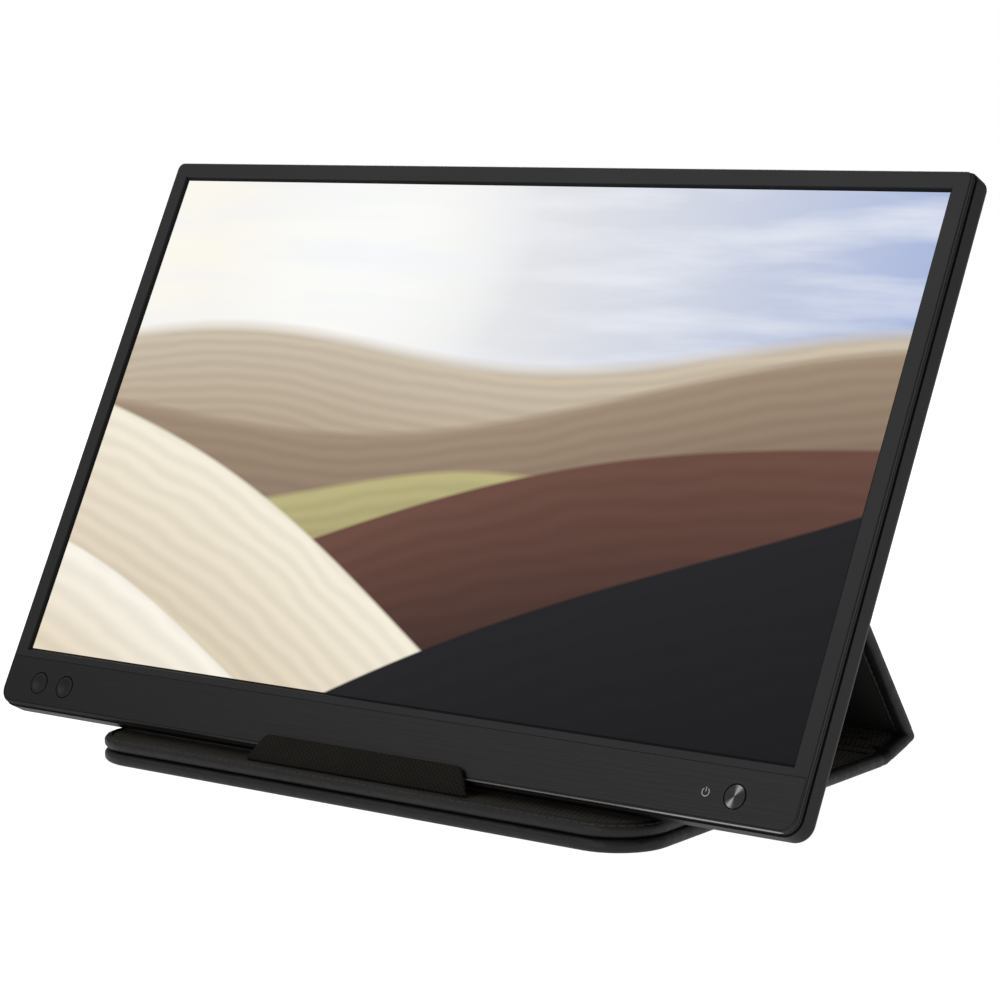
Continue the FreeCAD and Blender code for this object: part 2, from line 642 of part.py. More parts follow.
def display_ribbon():
    """Flat ribbon from the panel's driver board to the main board."""
    lap = RIBBON_LAP
    low = DRIVER_BOARD_LOW + DRIVER_BOARD_HEIGHT - lap
    near = (low, DRIVER_BOARD_BACK)
    near_bend = (low + lap, DRIVER_BOARD_BACK)
    far_bend = (MAIN_BOARD_LOW, MAIN_BOARD_FRONT - RIBBON_THICKNESS)
    far = (MAIN_BOARD_LOW + lap, MAIN_BOARD_FRONT - RIBBON_THICKNESS)
    path = [near, near_bend, far_bend, far]
    back = [(y, depth + RIBBON_THICKNESS) for y, depth in reversed(path)]
    points = [FreeCAD.Vector(RIBBON_X, y, -depth) for y, depth in path + back + path[:1]]
    return Part.Face(Part.makePolygon(points)).extrude(FreeCAD.Vector(RIBBON_WIDTH, 0, 0))


def key_board(x, width):
    half = KEY_BOARD_HEIGHT / 2
    return block(x - width / 2, x + width / 2, BUTTON_HEIGHT - half, BUTTON_HEIGHT + half,
                 KEY_BOARD_FRONT, KEY_BOARD_BACK)


def key_switches():
    """One push switch behind each button."""
    switches = []
    half = SWITCH_SIDE / 2
    for x in button_places():
        body = block(x - half, x + half, BUTTON_HEIGHT - half, BUTTON_HEIGHT + half,
                     KEY_BOARD_FRONT - SWITCH_DEPTH, KEY_BOARD_FRONT)
        plunger = post(x, BUTTON_HEIGHT, SWITCH_PLUNGER_RADIUS, PLUNGER_FRONT, KEY_BOARD_FRONT)
        switches.append(body.fuse(plunger).removeSplitter())
    return Part.makeCompound(switches)


def key_cable():
    """Flat cable along the housing's floor from the power key board to the main board."""
    low = FLAT_CABLE_HEIGHT
    high = low + FLAT_CABLE_WIDTH
    turn = MAIN_BOARD_LEFT + MAIN_BOARD_WIDTH - MAIN_BOARD_POST_INSET * 2
    top = MAIN_BOARD_LOW + MAIN_BOARD_POST_INSET
    points = [(turn - FLAT_CABLE_WIDTH, low), (POWER_X, low), (POWER_X, high), (turn, high),
              (turn, top), (turn - FLAT_CABLE_WIDTH, top)]
    wire = outline(points, [0] * len(points))
    return prism(wire, -HOUSING_FLOOR, FLAT_CABLE_THICKNESS - HOUSING_FLOOR)


def catch_plate():
    """Steel plate behind the back wall where the prop's magnets hold."""
    half = CATCH_PLATE_WIDTH / 2
    low = PROP_REACH_UP - CATCH_PLATE_HEIGHT / 2
    front = HOUSING_FLOOR - CATCH_PLATE_THICKNESS
    steel = block(-half, half, low, low + CATCH_PLATE_HEIGHT, front, HOUSING_FLOOR)
    room = POST_RADIUS + GLASS_CLEARANCE
    return steel.cut([post(x, y, room, front, HOUSING_FLOOR) for x, y in panel_post_places()])


def padded_leaf(points, radii):
    """Leaf drawn flat about its middle plane with all of its edges rounded over."""
    slab = prism(outline(points, radii), -HALF_LEAF, HALF_LEAF)
    rims = edges_at(slab, -HALF_LEAF) + edges_at(slab, HALF_LEAF)
    return slab.makeFillet(LEAF_ROUND, rims)


def leaf_points(start, end, inset):
    """Corners of a leaf between two distances from the cover's front edge, drawn inset."""
    low, high = start + inset, end - inset
    low_half = leaf_half_width(low) - inset
    high_half = leaf_half_width(high) - inset
    return [(-low_half, low), (low_half, low), (high_half, high), (-high_half, high)]


def leaf_radii(first, last, inset):
    """Corner radii of a leaf's two ends once it is drawn inset."""
    near = max(first - inset, first * RIM_ROUND_SHARE)
    far = max(last - inset, last * RIM_ROUND_SHARE)
    return [near, near, far, far]


def leaf_layers(start, end, first, last, rim):
    """Leather skin with its pocket, the board in it and the lining over the board."""
    skin = padded_leaf(leaf_points(start, end, 0), leaf_radii(first, last, 0))
    inner = outline(leaf_points(start, end, rim), leaf_radii(first, last, rim))
    snug = rim + LINING_CLEARANCE
    filler = outline(leaf_points(start, end, snug), leaf_radii(first, last, snug))
    floor = HALF_LEAF - POCKET_DEPTH
    board_top = floor + BOARD_THICKNESS
    skin = skin.cut(prism(inner, floor, HALF_LEAF + OVERRUN))
    board = prism(filler, floor, board_top)
    lining = prism(filler, board_top, board_top + LINING_THICKNESS)
    return skin, board, lining


def base_leaf():
    layers = leaf_layers(0, BASE_LENGTH - LEAF_END, FRONT_CORNER, CREASE_CORNER, LEAF_RIM)
    return [folded(layer, COVER_FRONT_Y, HALF_LEAF, 0) for layer in layers]


def shelf_leaf():
    layers = leaf_layers(0, SHELF_LENGTH, FRONT_CORNER, CREASE_CORNER, SHELF_RIM)
    return [folded(layer, COVER_FRONT_Y, SHELF_MIDDLE, 0) for layer in layers]


def crease(crease_y, crease_z):
    """Rolled leather between two leaves, on the line that they fold about."""
    half = leaf_half_width(BASE_LENGTH) - CREASE_CORNER
    along = FreeCAD.Vector(1, 0, 0)
    roll = Part.makeCylinder(HALF_LEAF, 2 * half, FreeCAD.Vector(-half, 0, 0), along)
    return folded(roll, crease_y, crease_z, 0)


def spine_leaf():
    """Narrow leaf between the two rear creases and the stiffener strip inside it."""
    half = COVER_REAR_WIDTH / 2
    points = rectangle(half, LEAF_END, SPINE_LENGTH - LEAF_END)
    skin = padded_leaf(points, [CREASE_CORNER] * 4)
    low, high = LEAF_END + LEAF_ROUND, SPINE_LENGTH - LEAF_END - LEAF_ROUND
    floor = HALF_LEAF - POCKET_DEPTH
    room = outline(rectangle(half - LEAF_RIM, low, high), [0] * 4)
    skin = skin.cut(prism(room, floor, HALF_LEAF + OVERRUN))
    snug = LINING_CLEARANCE
    strip = outline(rectangle(half - LEAF_RIM - snug, low + snug, high - snug), [0] * 4)
    board_top = floor + BOARD_THICKNESS
    board = prism(strip, floor, board_top)
    lining = prism(strip, board_top, board_top + LINING_THICKNESS)
    return [folded(layer, BASE_CREASE_Y, BASE_CREASE_Z, SPINE_RISE) for layer in (skin, board, lining)]


def prop_outline(inset):
    """Outline of the prop leaf, drawn flat from its crease and inset."""
    half = COVER_REAR_WIDTH / 2 - inset
    points = rectangle(half, LEAF_END + inset, PROP_LENGTH - inset)
    return outline(points, leaf_radii(CREASE_CORNER, PROP_TOP_CORNER, inset))


def magnet_blocks(grow):
    """Magnets near the prop's top edge, or with growth the slots that take them."""
    floor = HALF_LEAF - POCKET_DEPTH
    high = PROP_LENGTH - LEAF_RIM - PROP_TOP_CORNER * RIM_ROUND_SHARE
    low = high - MAGNET_WIDTH
    bars = []
    for share in MAGNET_SHARES:
        middle = COVER_REAR_WIDTH / 2 * share
        bar = rectangle(MAGNET_LENGTH / 2 + grow, low - grow, high + grow)
        wire = outline([(middle + x, y) for x, y in bar], [0] * 4)
        bars.append(prism(wire, floor, floor + BOARD_THICKNESS))
    return bars


def prop_leaf():
    """Prop leaf: skin, board with magnet slots, lining and the magnets."""
    half = COVER_REAR_WIDTH / 2
    points = rectangle(half, LEAF_END, PROP_LENGTH)
    skin = padded_leaf(points, [CREASE_CORNER] * 2 + [PROP_TOP_CORNER] * 2)
    floor = HALF_LEAF - POCKET_DEPTH
    board_top = floor + BOARD_THICKNESS
    snug = LEAF_RIM + LINING_CLEARANCE
    skin = skin.cut(prism(prop_outline(LEAF_RIM), floor, HALF_LEAF + OVERRUN))
    board = prism(prop_outline(snug), floor, board_top).cut(magnet_blocks(LINING_CLEARANCE))
    lining = prism(prop_outline(snug), board_top, board_top + LINING_THICKNESS)
    pieces = [skin, board, lining, Part.makeCompound(magnet_blocks(0))]
    return [folded(piece, REAR_CREASE_Y, REAR_CREASE_Z, PROP_TURN) for piece in pieces]


def stop_tab():
    """Stiff tab, round along the edge that it folds about, that stops the monitor sliding."""
    half_thick = TAB_THICKNESS / 2
    foot, head = TAB_WIDTH / 2, TAB_TOP_WIDTH / 2
    points = [(-foot, 0), (foot, 0), (head, TAB_LENGTH), (-head, TAB_LENGTH)]
    flap = prism(outline(points, [0, 0, TAB_CORNER, TAB_CORNER]), -half_thick, half_thick)
    along = FreeCAD.Vector(1, 0, 0)
    roll = Part.makeCylinder(half_thick, TAB_WIDTH, FreeCAD.Vector(-foot, 0, 0), along)
    tab = flap.fuse(roll).removeSplitter()
    tab.translate(FreeCAD.Vector(TAB_OFFSET, 0, 0))
    return folded(tab, TAB_HINGE_Y, TAB_HINGE_Z, RIGHT_ANGLE - MONITOR_TILT)


def monitor_pieces():
    """Every piece of the monitor, drawn lying on its back and then leaned on the stand."""
    pieces = {
        "rear_housing": rear_housing(),
        "front_bezel": front_bezel(),
        "chin_strip": chin_strip(),
        "power_button": button(POWER_X),
        "menu_button_outer": menu_button(MENU_OUTER_X),
        "menu_button_inner": menu_button(MENU_INNER_X),
        "panel_glass": panel_glass(),
        "optical_films": panel_sheet(GLASS_BACK, FILMS_BACK, 0),
        "light_guide": panel_sheet(FILMS_BACK, GUIDE_BACK, LED_BAR_HEIGHT),
        "reflector_sheet": panel_sheet(GUIDE_BACK, REFLECTOR_BACK, 0),
        "led_bar": led_bar(),
        "panel_tray": panel_tray(),
        "driver_board": driver_board(),
        "main_board": main_board(),
        "board_shield": board_shield(),
        "board_screws": board_screws(),
        "usb_socket": usb_socket(),
        "display_ribbon": display_ribbon(),
        "menu_key_board": key_board(MENU_MIDDLE_X, KEY_BOARD_WIDTH),
        "power_key_board": key_board(POWER_X, POWER_BOARD_WIDTH),
        "key_switches": key_switches(),
        "key_cable": key_cable(),
        "catch_plate": catch_plate(),
    }
    return {name: on_stand(piece) for name, piece in pieces.items()}


def cover_pieces():
    """Every piece of the folding cover in its standing place."""
    pieces = {}
    pieces["base_skin"], pieces["base_board"], pieces["base_lining"] = base_leaf()
    pieces["shelf_skin"], pieces["shelf_board"], pieces["shelf_lining"] = shelf_leaf()
    pieces["base_crease"] = crease(BASE_CREASE_Y, BASE_CREASE_Z)
    pieces["spine_skin"], pieces["spine_board"], pieces["spine_lining"] = spine_leaf()
    pieces["rear_crease"] = crease(REAR_CREASE_Y, REAR_CREASE_Z)
    prop_names = ["prop_skin", "prop_board", "prop_lining", "prop_magnets"]
    pieces.update(zip(prop_names, prop_leaf()))
    pieces["stop_tab"] = stop_tab()
    return pieces


os.makedirs("parts", exist_ok=True)
for name, piece in {**monitor_pieces(), **cover_pieces()}.items():
    piece.exportStep("parts/" + name + ".step")
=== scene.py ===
import bpy
import math
from collections import namedtuple
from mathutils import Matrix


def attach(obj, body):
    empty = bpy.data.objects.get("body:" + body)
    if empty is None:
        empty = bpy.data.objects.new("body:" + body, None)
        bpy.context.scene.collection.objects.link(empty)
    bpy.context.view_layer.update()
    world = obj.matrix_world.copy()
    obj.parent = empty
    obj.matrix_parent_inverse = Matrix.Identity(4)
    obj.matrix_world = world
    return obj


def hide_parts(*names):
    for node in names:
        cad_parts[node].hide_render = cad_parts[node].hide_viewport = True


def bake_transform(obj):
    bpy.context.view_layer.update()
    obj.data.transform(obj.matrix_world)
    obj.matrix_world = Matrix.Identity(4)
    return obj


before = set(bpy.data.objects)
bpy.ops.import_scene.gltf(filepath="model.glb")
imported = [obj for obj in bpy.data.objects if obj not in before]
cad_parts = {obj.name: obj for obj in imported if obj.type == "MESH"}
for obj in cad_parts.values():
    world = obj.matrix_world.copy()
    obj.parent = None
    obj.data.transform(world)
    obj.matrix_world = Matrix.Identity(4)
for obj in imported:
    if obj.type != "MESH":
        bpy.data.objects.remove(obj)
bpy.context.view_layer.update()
scene = bpy.context.scene

# Screen's place: its lean, the front of its lower edge, and the lit area on it.
TILT = math.radians(26.3)
EDGE_Y, EDGE_Z = -0.07885, 0.013742
LIT_LEFT, LIT_LOW, LIT_WIDTH, LIT_HEIGHT = -0.1721, 0.0227, 0.3442, 0.1936

# Shader helpers that the materials share.
FLOAT, COLOUR, VECTOR = "NodeSocketFloat", "NodeSocketColor", "NodeSocketVector"
FIRST_COLOUR, SECOND_COLOUR, MIXED_COLOUR = 6, 7, 2
BROAD_SCALE, ROUGHNESS_CHANGE, GRAIN_DEPTH = 22.0, 0.08, 0.0002


def wire(tree, socket, value):
    """Sets a socket to a number or a colour, or links another socket to it."""
    if isinstance(value, (int, float)):
        socket.default_value = value
    elif isinstance(value, tuple):
        socket.default_value = (*value, 1)
    else:
        tree.links.new(value, socket)


def add_node(tree, kind, settings=None, links=None, **values):
    """Adds a node, sets its options and socket values, and wires its inputs."""
    made = tree.nodes.new(kind)
    for option, value in (settings or {}).items():
        setattr(made, option, value)
    for socket, value in values.items():
        made.inputs[socket.replace("_", " ")].default_value = value
    for socket, source in (links or {}).items():
        tree.links.new(source, made.inputs[socket])
    return made


def math_node(tree, operation, *inputs, clamp=False):
    """Adds a Math node whose inputs are numbers or sockets, and gives its output."""
    made = add_node(tree, "ShaderNodeMath", {"operation": operation, "use_clamp": clamp})
    for socket, value in zip(made.inputs, inputs):
        wire(tree, socket, value)
    return made.outputs[0]


def mix_colours(tree, factor, first, second):
    """Mixes two colours or colour sockets by a factor socket, and gives the result."""
    made = add_node(tree, "ShaderNodeMix", {"data_type": "RGBA"}, {"Factor": factor})
    wire(tree, made.inputs[FIRST_COLOUR], first)
    wire(tree, made.inputs[SECOND_COLOUR], second)
    return made.outputs[MIXED_COLOUR]


def scale_colour(tree, colour, factor):
    """Makes a colour lighter or darker by a factor socket."""
    links = {0: colour, "Scale": factor}
    return add_node(tree, "ShaderNodeVectorMath", {"operation": "SCALE"}, links).outputs[0]


def noise(tree, place, scale, detail=2.0):
    """Adds a noise texture at a place, and gives its level."""
    made = add_node(tree, "ShaderNodeTexNoise", None, {"Vector": place}, Detail=detail)
    wire(tree, made.inputs["Scale"], scale)
    return made.outputs["Fac"]


def bumped(tree, height, strength, distance, under=None, invert=False):
    """Adds a bump for a height socket, over another normal if given, and gives the normal."""
    made = add_node(tree, "ShaderNodeBump", {"invert": invert}, {"Height": height}, Distance=distance)
    wire(tree, made.inputs["Strength"], strength)
    if under is not None:
        tree.links.new(under, made.inputs["Normal"])
    return made.outputs["Normal"]


def split_place(tree, place):
    """Splits a place into its three coordinates."""
    return add_node(tree, "ShaderNodeSeparateXYZ", None, {"Vector": place}).outputs


def object_place(tree):
    """A piece's own coordinates, which are the row frame's at rest."""
    return add_node(tree, "ShaderNodeTexCoord").outputs["Object"]


def screen_place(tree):
    """Coordinates in the screen's own plane: across, up and out of the glass."""
    links = {"Vector": object_place(tree)}
    turned = add_node(tree, "ShaderNodeMapping", {"vector_type": "TEXTURE"}, links)
    turned.inputs["Location"].default_value = (0, EDGE_Y, EDGE_Z)
    turned.inputs["Rotation"].default_value = (math.pi / 2 - TILT, 0, 0)
    return turned.outputs[0]


def new_group(name, inputs, outputs):
    """Starts a node group whose sockets are given as name: (kind, value)."""
    group = bpy.data.node_groups.new(name, "ShaderNodeTree")
    for title, (kind, value) in inputs.items():
        socket = group.interface.new_socket(title, in_out="INPUT", socket_type=kind)
        if value is not None:
            socket.default_value = value
    for title, kind in outputs.items():
        group.interface.new_socket(title, in_out="OUTPUT", socket_type=kind)
    start = group.nodes.new("NodeGroupInput")
    end = group.nodes.new("NodeGroupOutput")
    return group, start.outputs, end.inputs


def use_group(tree, group, links=None, **values):
    """Adds a node group to a material and gives its outputs."""
    return add_node(tree, "ShaderNodeGroup", {"node_tree": group}, links, **values).outputs


def grain_group():
    """Fine surface grain: a bumped normal, an uneven tone and an uneven roughness."""
    group, given, result = new_group(
        "surface grain",
        {
            "Place": (VECTOR, None),
            "Colour": (COLOUR, (0.02, 0.02, 0.02, 1)),
            "Grain size": (FLOAT, 900.0),
            "Bump": (FLOAT, 0.1),
            "Tone change": (FLOAT, 0.2),
            "Roughness": (FLOAT, 0.5),
        },
        {"Colour": COLOUR, "Roughness": FLOAT, "Normal": VECTOR},
    )
    fine = noise(group, given["Place"], given["Grain size"], detail=3.0)
    broad = noise(group, given["Place"], BROAD_SCALE)
    shift = math_node(group, "MULTIPLY_ADD", broad, 2.0, -1.0)
    tone = math_node(group, "MULTIPLY_ADD", shift, given["Tone change"], 1.0)
    worn = math_node(group, "MULTIPLY_ADD", shift, ROUGHNESS_CHANGE, given["Roughness"])
    group.links.new(scale_colour(group, given["Colour"], tone), result["Colour"])
    group.links.new(worn, result["Roughness"])
    group.links.new(bumped(group, fine, given["Bump"], GRAIN_DEPTH), result["Normal"])
    return group


GRAIN = grain_group()


def new_material(name):
    """An empty material with its Principled shader."""
    material = bpy.data.materials.new(name)
    material.use_nodes = True
    tree = material.node_tree
    return material, tree, tree.nodes["Principled BSDF"]


def dress(tree, shader, made):
    """Feeds a group's colour, roughness and normal to a shader."""
    tree.links.new(made["Colour"], shader.inputs["Base Color"])
    tree.links.new(made["Roughness"], shader.inputs["Roughness"])
    tree.links.new(made["Normal"], shader.inputs["Normal"])


def grained(name, colour, grain, bump, roughness, tone=0.2, metal=0.0, specular=0.5):
    """A material with the shared surface grain."""
    material, tree, shader = new_material(name)
    dress(tree, shader, use_group(
        tree, GRAIN, {"Place": object_place(tree)}, Colour=(*colour, 1), Grain_size=grain,
        Bump=bump, Tone_change=tone, Roughness=roughness,
    ))
    shader.inputs["Metallic"].default_value = metal
    shader.inputs["Specular IOR Level"].default_value = specular
    return material


def paint(material, *nodes):
    """Gives CAD nodes a material."""
    for node in nodes:
        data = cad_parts[node].data
        data.materials.clear()
        data.materials.append(material)


# Rear housing: a matt black moulded tray with a faint spark-eroded grain, whose wall
# shows at the side of the screen behind a dark parting line.
paint(grained("housing plastic", (0.007, 0.007, 0.0074), grain=2600.0, bump=0.16, roughness=0.46,
              specular=0.2), "rear_housing")

# Front bezel: the same black plastic with a finer, slightly smoother finish, a polished
# rounded rim along its top and bottom with a thin painted highlight line on it, painted shade
# on the slopes round the window, and painted light that makes the skirt deep in the parting line paler.
BEZEL_LOW, BEZEL_HIGH, BEZEL_BACK, WINDOW_HALF = 0.0006, 0.2234, 0.00238, 0.1755
# Painted shade for the slopes that fall back from the front, and painted light for the skirt in the
# parting line.
SLOPE_SHADE_COLOUR, SKIRT_LIGHT_COLOUR = (0.001, 0.001, 0.0012), (0.045, 0.045, 0.047)
# Painted highlight on the rim: its colour, metal share and smoothness, how it grows towards the right
# along the bottom, and how strong it is along the top.
RIM_HIGHLIGHT_COLOUR = (0.4, 0.4, 0.405)
RIM_METAL, RIM_SMOOTHER, SLOPE_ROUGHER = 0.3, -0.12, 0.5
HIGHLIGHT_GROWTH, HIGHLIGHT_AT_MIDDLE, TOP_HIGHLIGHT = 5.0, 0.4, 0.9


def edge_group():
    """Masks where a framed plate turns: its rim for the painted highlight, how far it falls back for the
    painted shade, and its skirt behind for the painted light.
    """
    group, given, result = new_group(
        "turned edge",
        {
            "Place": (VECTOR, None),
            "Rim width": (FLOAT, 0.00042),
            "Fade": (FLOAT, 0.00015),
            "Rim depth": (FLOAT, 0.0006),
            "Fall": (FLOAT, 0.0005),
        },
        {"Rim": FLOAT, "Shaded slope": FLOAT, "Lit skirt": FLOAT},
    )
    across, up, out = split_place(group, given["Place"])
    height = math_node(group, "SUBTRACT", up, (BEZEL_LOW + BEZEL_HIGH) / 2)
    distance = math_node(group, "ABSOLUTE", height)
    outside = math_node(group, "SUBTRACT", distance, (BEZEL_HIGH - BEZEL_LOW) / 2)
    near = math_node(group, "ADD", outside, given["Rim width"])
    near = math_node(group, "DIVIDE", near, given["Fade"], clamp=True)
    back = math_node(group, "MULTIPLY", out, -1.0)
    front = math_node(group, "LESS_THAN", back, given["Rim depth"])
    # The painted highlight shows along the bottom rim towards the right end and along the top rim.
    lit_end = math_node(group, "MULTIPLY_ADD", across, HIGHLIGHT_GROWTH, HIGHLIGHT_AT_MIDDLE, clamp=True)
    upper = math_node(group, "MULTIPLY", math_node(group, "GREATER_THAN", height, 0.0), TOP_HIGHLIGHT)
    shown = math_node(group, "MAXIMUM", lit_end, upper)
    rim = math_node(group, "MULTIPLY", math_node(group, "MULTIPLY", near, front), shown)
    inner = math_node(group, "LESS_THAN", math_node(group, "ABSOLUTE", across), WINDOW_HALF)
    # Painted shade mask: how far a surface falls back from the front, within the window's width.
    fall = math_node(group, "DIVIDE", back, given["Fall"], clamp=True)
    group.links.new(rim, result["Rim"])
    group.links.new(math_node(group, "MULTIPLY", fall, inner), result["Shaded slope"])
    # Painted light mask: the skirt behind the plate, deep in the parting line.
    group.links.new(math_node(group, "GREATER_THAN", back, BEZEL_BACK), result["Lit skirt"])
    return group


def bezel_material():
    """Bezel plastic with a painted highlight on its rim, painted shade on its slopes and painted light
    on its skirt.
    """
    material = grained("bezel plastic", (0.0085, 0.0085, 0.009), grain=3200.0, bump=0.1,
                       roughness=0.42, specular=0.38)
    tree = material.node_tree
    shader = tree.nodes["Principled BSDF"]
    edge = use_group(tree, edge_group(), {"Place": screen_place(tree)})
    colour = shader.inputs["Base Color"].links[0].from_socket
    rough = shader.inputs["Roughness"].links[0].from_socket
    # Painted shade on the slopes and painted light on the skirt.
    colour = mix_colours(tree, edge["Shaded slope"], colour, SLOPE_SHADE_COLOUR)
    colour = mix_colours(tree, edge["Lit skirt"], colour, SKIRT_LIGHT_COLOUR)
    # Painted highlight colour on the rim.
    tree.links.new(mix_colours(tree, edge["Rim"], colour, RIM_HIGHLIGHT_COLOUR), shader.inputs["Base Color"])
    tree.links.new(math_node(tree, "MULTIPLY", edge["Rim"], RIM_METAL), shader.inputs["Metallic"])
    rough = math_node(tree, "MULTIPLY_ADD", edge["Shaded slope"], SLOPE_ROUGHER, rough)
    rough = math_node(tree, "MULTIPLY_ADD", edge["Rim"], RIM_SMOOTHER, rough)
    tree.links.new(rough, shader.inputs["Roughness"])
    return material


paint(bezel_material(), "front_bezel")

# Screen: the lit panel shows a made-up picture of soft dunes in creams, browns, a dark
# slope and a pale blue sky, under a low-gloss front film.
SKY_LEFT, SKY_RIGHT, SKY_TURN = (1.0, 0.97, 0.88), (0.42, 0.5, 0.74), 1.6
SUN_COLOUR, SUN_ACROSS, SUN_UP = (1.0, 1.0, 0.98), 0.3, 0.86
SUN_STRETCH, SUN_REACH = 3.16, 0.16
CLOUD_COLOUR, CLOUD_SCALE, CLOUD_LENGTH = (0.9, 0.92, 0.97), 3.4, 4.0
CLOUD_CONTRAST, CLOUD_SHIFT = 2.6, -1.15
DRIFT_SCALE, DRIFT_WAVES, RIPPLE_SHADE = 7.0, 9.0, 0.05
SCREEN_LIGHT, FILM_SCALE, FILM_ROUGHNESS, FILM_CHANGE = 0.96, 4000.0, 0.4, 0.1
# Each dune: crest colour, foot colour, height, slope, swell, waves, start, depth, softness,
# ripples.
DUNES = (
    ((0.62, 0.54, 0.42), (0.4, 0.31, 0.22), 0.66, 0.06, 0.04, 7.0, 0.6, 0.3, 0.03, 260.0),
    ((0.36, 0.27, 0.19), (0.16, 0.1, 0.07), 0.5, 0.16, 0.06, 5.2, 2.6, 0.34, 0.016, 220.0),
    ((0.5, 0.46, 0.22), (0.28, 0.21, 0.1), 0.4, -0.04, 0.07, 6.4, 4.1, 0.3, 0.012, 190.0),
    ((0.15, 0.07, 0.05), (0.05, 0.022, 0.018), 0.12, 0.42, 0.07, 4.4, 5.0, 0.34, 0.008, 150.0),
    ((0.92, 0.86, 0.72), (0.66, 0.55, 0.4), 0.5, -0.72, 0.05, 5.6, 0.3, 0.42, 0.008, 170.0),
    ((0.012, 0.0115, 0.0132), (0.004, 0.004, 0.006), -0.42, 0.88, 0.05, 5.0, 5.2, 0.5, 0.006, 120.0),
    ((0.96, 0.92, 0.82), (0.8, 0.7, 0.55), 0.2, -0.62, 0.03, 8.0, 1.0, 0.2, 0.006, 130.0),
)


def dune_group():
    """One dune: everything under a wavy crest line takes the dune's shaded colour."""
    group, given, result = new_group(
        "dune",
        {
            "Across": (FLOAT, 0.0),
            "Up": (FLOAT, 0.0),
            "Behind": (COLOUR, (1, 1, 1, 1)),
            "Crest colour": (COLOUR, (1, 1, 1, 1)),
            "Foot colour": (COLOUR, (0, 0, 0, 1)),
            "Height": (FLOAT, 0.5),
            "Slope": (FLOAT, 0.0),
            "Swell": (FLOAT, 0.1),
            "Waves": (FLOAT, 5.0),
            "Start": (FLOAT, 0.0),
            "Depth": (FLOAT, 0.4),
            "Softness": (FLOAT, 0.01),
            "Ripples": (FLOAT, 60.0),
        },
        {"Colour": COLOUR},
    )
    angle = math_node(group, "MULTIPLY_ADD", given["Across"], given["Waves"], given["Start"])
    rise = math_node(group, "MULTIPLY", math_node(group, "SINE", angle), given["Swell"])
    line = math_node(group, "MULTIPLY_ADD", given["Across"], given["Slope"], given["Height"])
    below = math_node(group, "SUBTRACT", math_node(group, "ADD", line, rise), given["Up"])
    inside = math_node(group, "DIVIDE", below, given["Softness"], clamp=True)
    down = math_node(group, "DIVIDE", below, given["Depth"], clamp=True)
    body = mix_colours(group, down, given["Crest colour"], given["Foot colour"])
    place = add_node(group, "ShaderNodeCombineXYZ", None, {0: given["Across"], 1: given["Up"]})
    drift = noise(group, place.outputs[0], DRIFT_SCALE)
    ridge = math_node(group, "MULTIPLY", below, given["Ripples"])
    ridge = math_node(group, "MULTIPLY_ADD", drift, DRIFT_WAVES, ridge)
    shade = math_node(group, "MULTIPLY_ADD", math_node(group, "SINE", ridge), RIPPLE_SHADE, 1.0)
    sand = scale_colour(group, body, shade)
    group.links.new(mix_colours(group, inside, given["Behind"], sand), result["Colour"])
    return group


def sky_picture(tree, across, up):
    """Sky that turns from cream to blue, with a glow round the sun and thin clouds."""
    sky = mix_colours(tree, math_node(tree, "POWER", across, SKY_TURN), SKY_LEFT, SKY_RIGHT)
    sun_side = math_node(tree, "POWER", math_node(tree, "SUBTRACT", across, SUN_ACROSS), 2.0)
    sun_rise = math_node(tree, "POWER", math_node(tree, "SUBTRACT", up, SUN_UP), 2.0)
    sun = math_node(tree, "ADD", math_node(tree, "MULTIPLY", sun_side, SUN_STRETCH), sun_rise)
    glow = math_node(tree, "SUBTRACT", 1.0, math_node(tree, "DIVIDE", sun, SUN_REACH, clamp=True))
    sky = mix_colours(tree, glow, sky, SUN_COLOUR)
    flat = math_node(tree, "MULTIPLY", up, CLOUD_LENGTH)
    drift = add_node(tree, "ShaderNodeCombineXYZ", None, {0: across, 1: flat})
    cloud = noise(tree, drift.outputs[0], CLOUD_SCALE, detail=5.0)
    cover = math_node(tree, "MULTIPLY_ADD", cloud, CLOUD_CONTRAST, CLOUD_SHIFT, clamp=True)
    return mix_colours(tree, cover, sky, CLOUD_COLOUR)


def screen_material():
    """The lit picture, black outside the lit area."""
    material, tree, shader = new_material("lit screen")
    place = split_place(tree, screen_place(tree))
    across = math_node(tree, "MULTIPLY_ADD", place[0], 1 / LIT_WIDTH, -LIT_LEFT / LIT_WIDTH)
    up = math_node(tree, "MULTIPLY_ADD", place[1], 1 / LIT_HEIGHT, -LIT_LOW / LIT_HEIGHT)
    picture = sky_picture(tree, across, up)
    dune = dune_group()
    for crest, foot, height, slope, swell, waves, start, depth, softness, ripples in DUNES:
        picture = use_group(
            tree, dune, {"Across": across, "Up": up, "Behind": picture},
            Crest_colour=(*crest, 1), Foot_colour=(*foot, 1), Height=height, Slope=slope,
            Swell=swell, Waves=waves, Start=start, Depth=depth, Softness=softness, Ripples=ripples,
        )["Colour"]
    edge = [math_node(tree, "COMPARE", value, 0.5, 0.5) for value in (across, up)]
    lit = math_node(tree, "MULTIPLY", *edge)
    picture = mix_colours(tree, lit, (0.0, 0.0, 0.0), picture)
    tree.links.new(picture, shader.inputs["Emission Color"])
    shader.inputs["Emission Strength"].default_value = SCREEN_LIGHT
    shader.inputs["Base Color"].default_value = (0.004, 0.004, 0.005, 1)
    film = noise(tree, screen_place(tree), FILM_SCALE)
    haze = math_node(tree, "MULTIPLY_ADD", film, FILM_CHANGE, FILM_ROUGHNESS)
    tree.links.new(haze, shader.inputs["Roughness"])
    shader.inputs["Specular IOR Level"].default_value = 0.1
    return material


paint(screen_material(), "panel_glass")

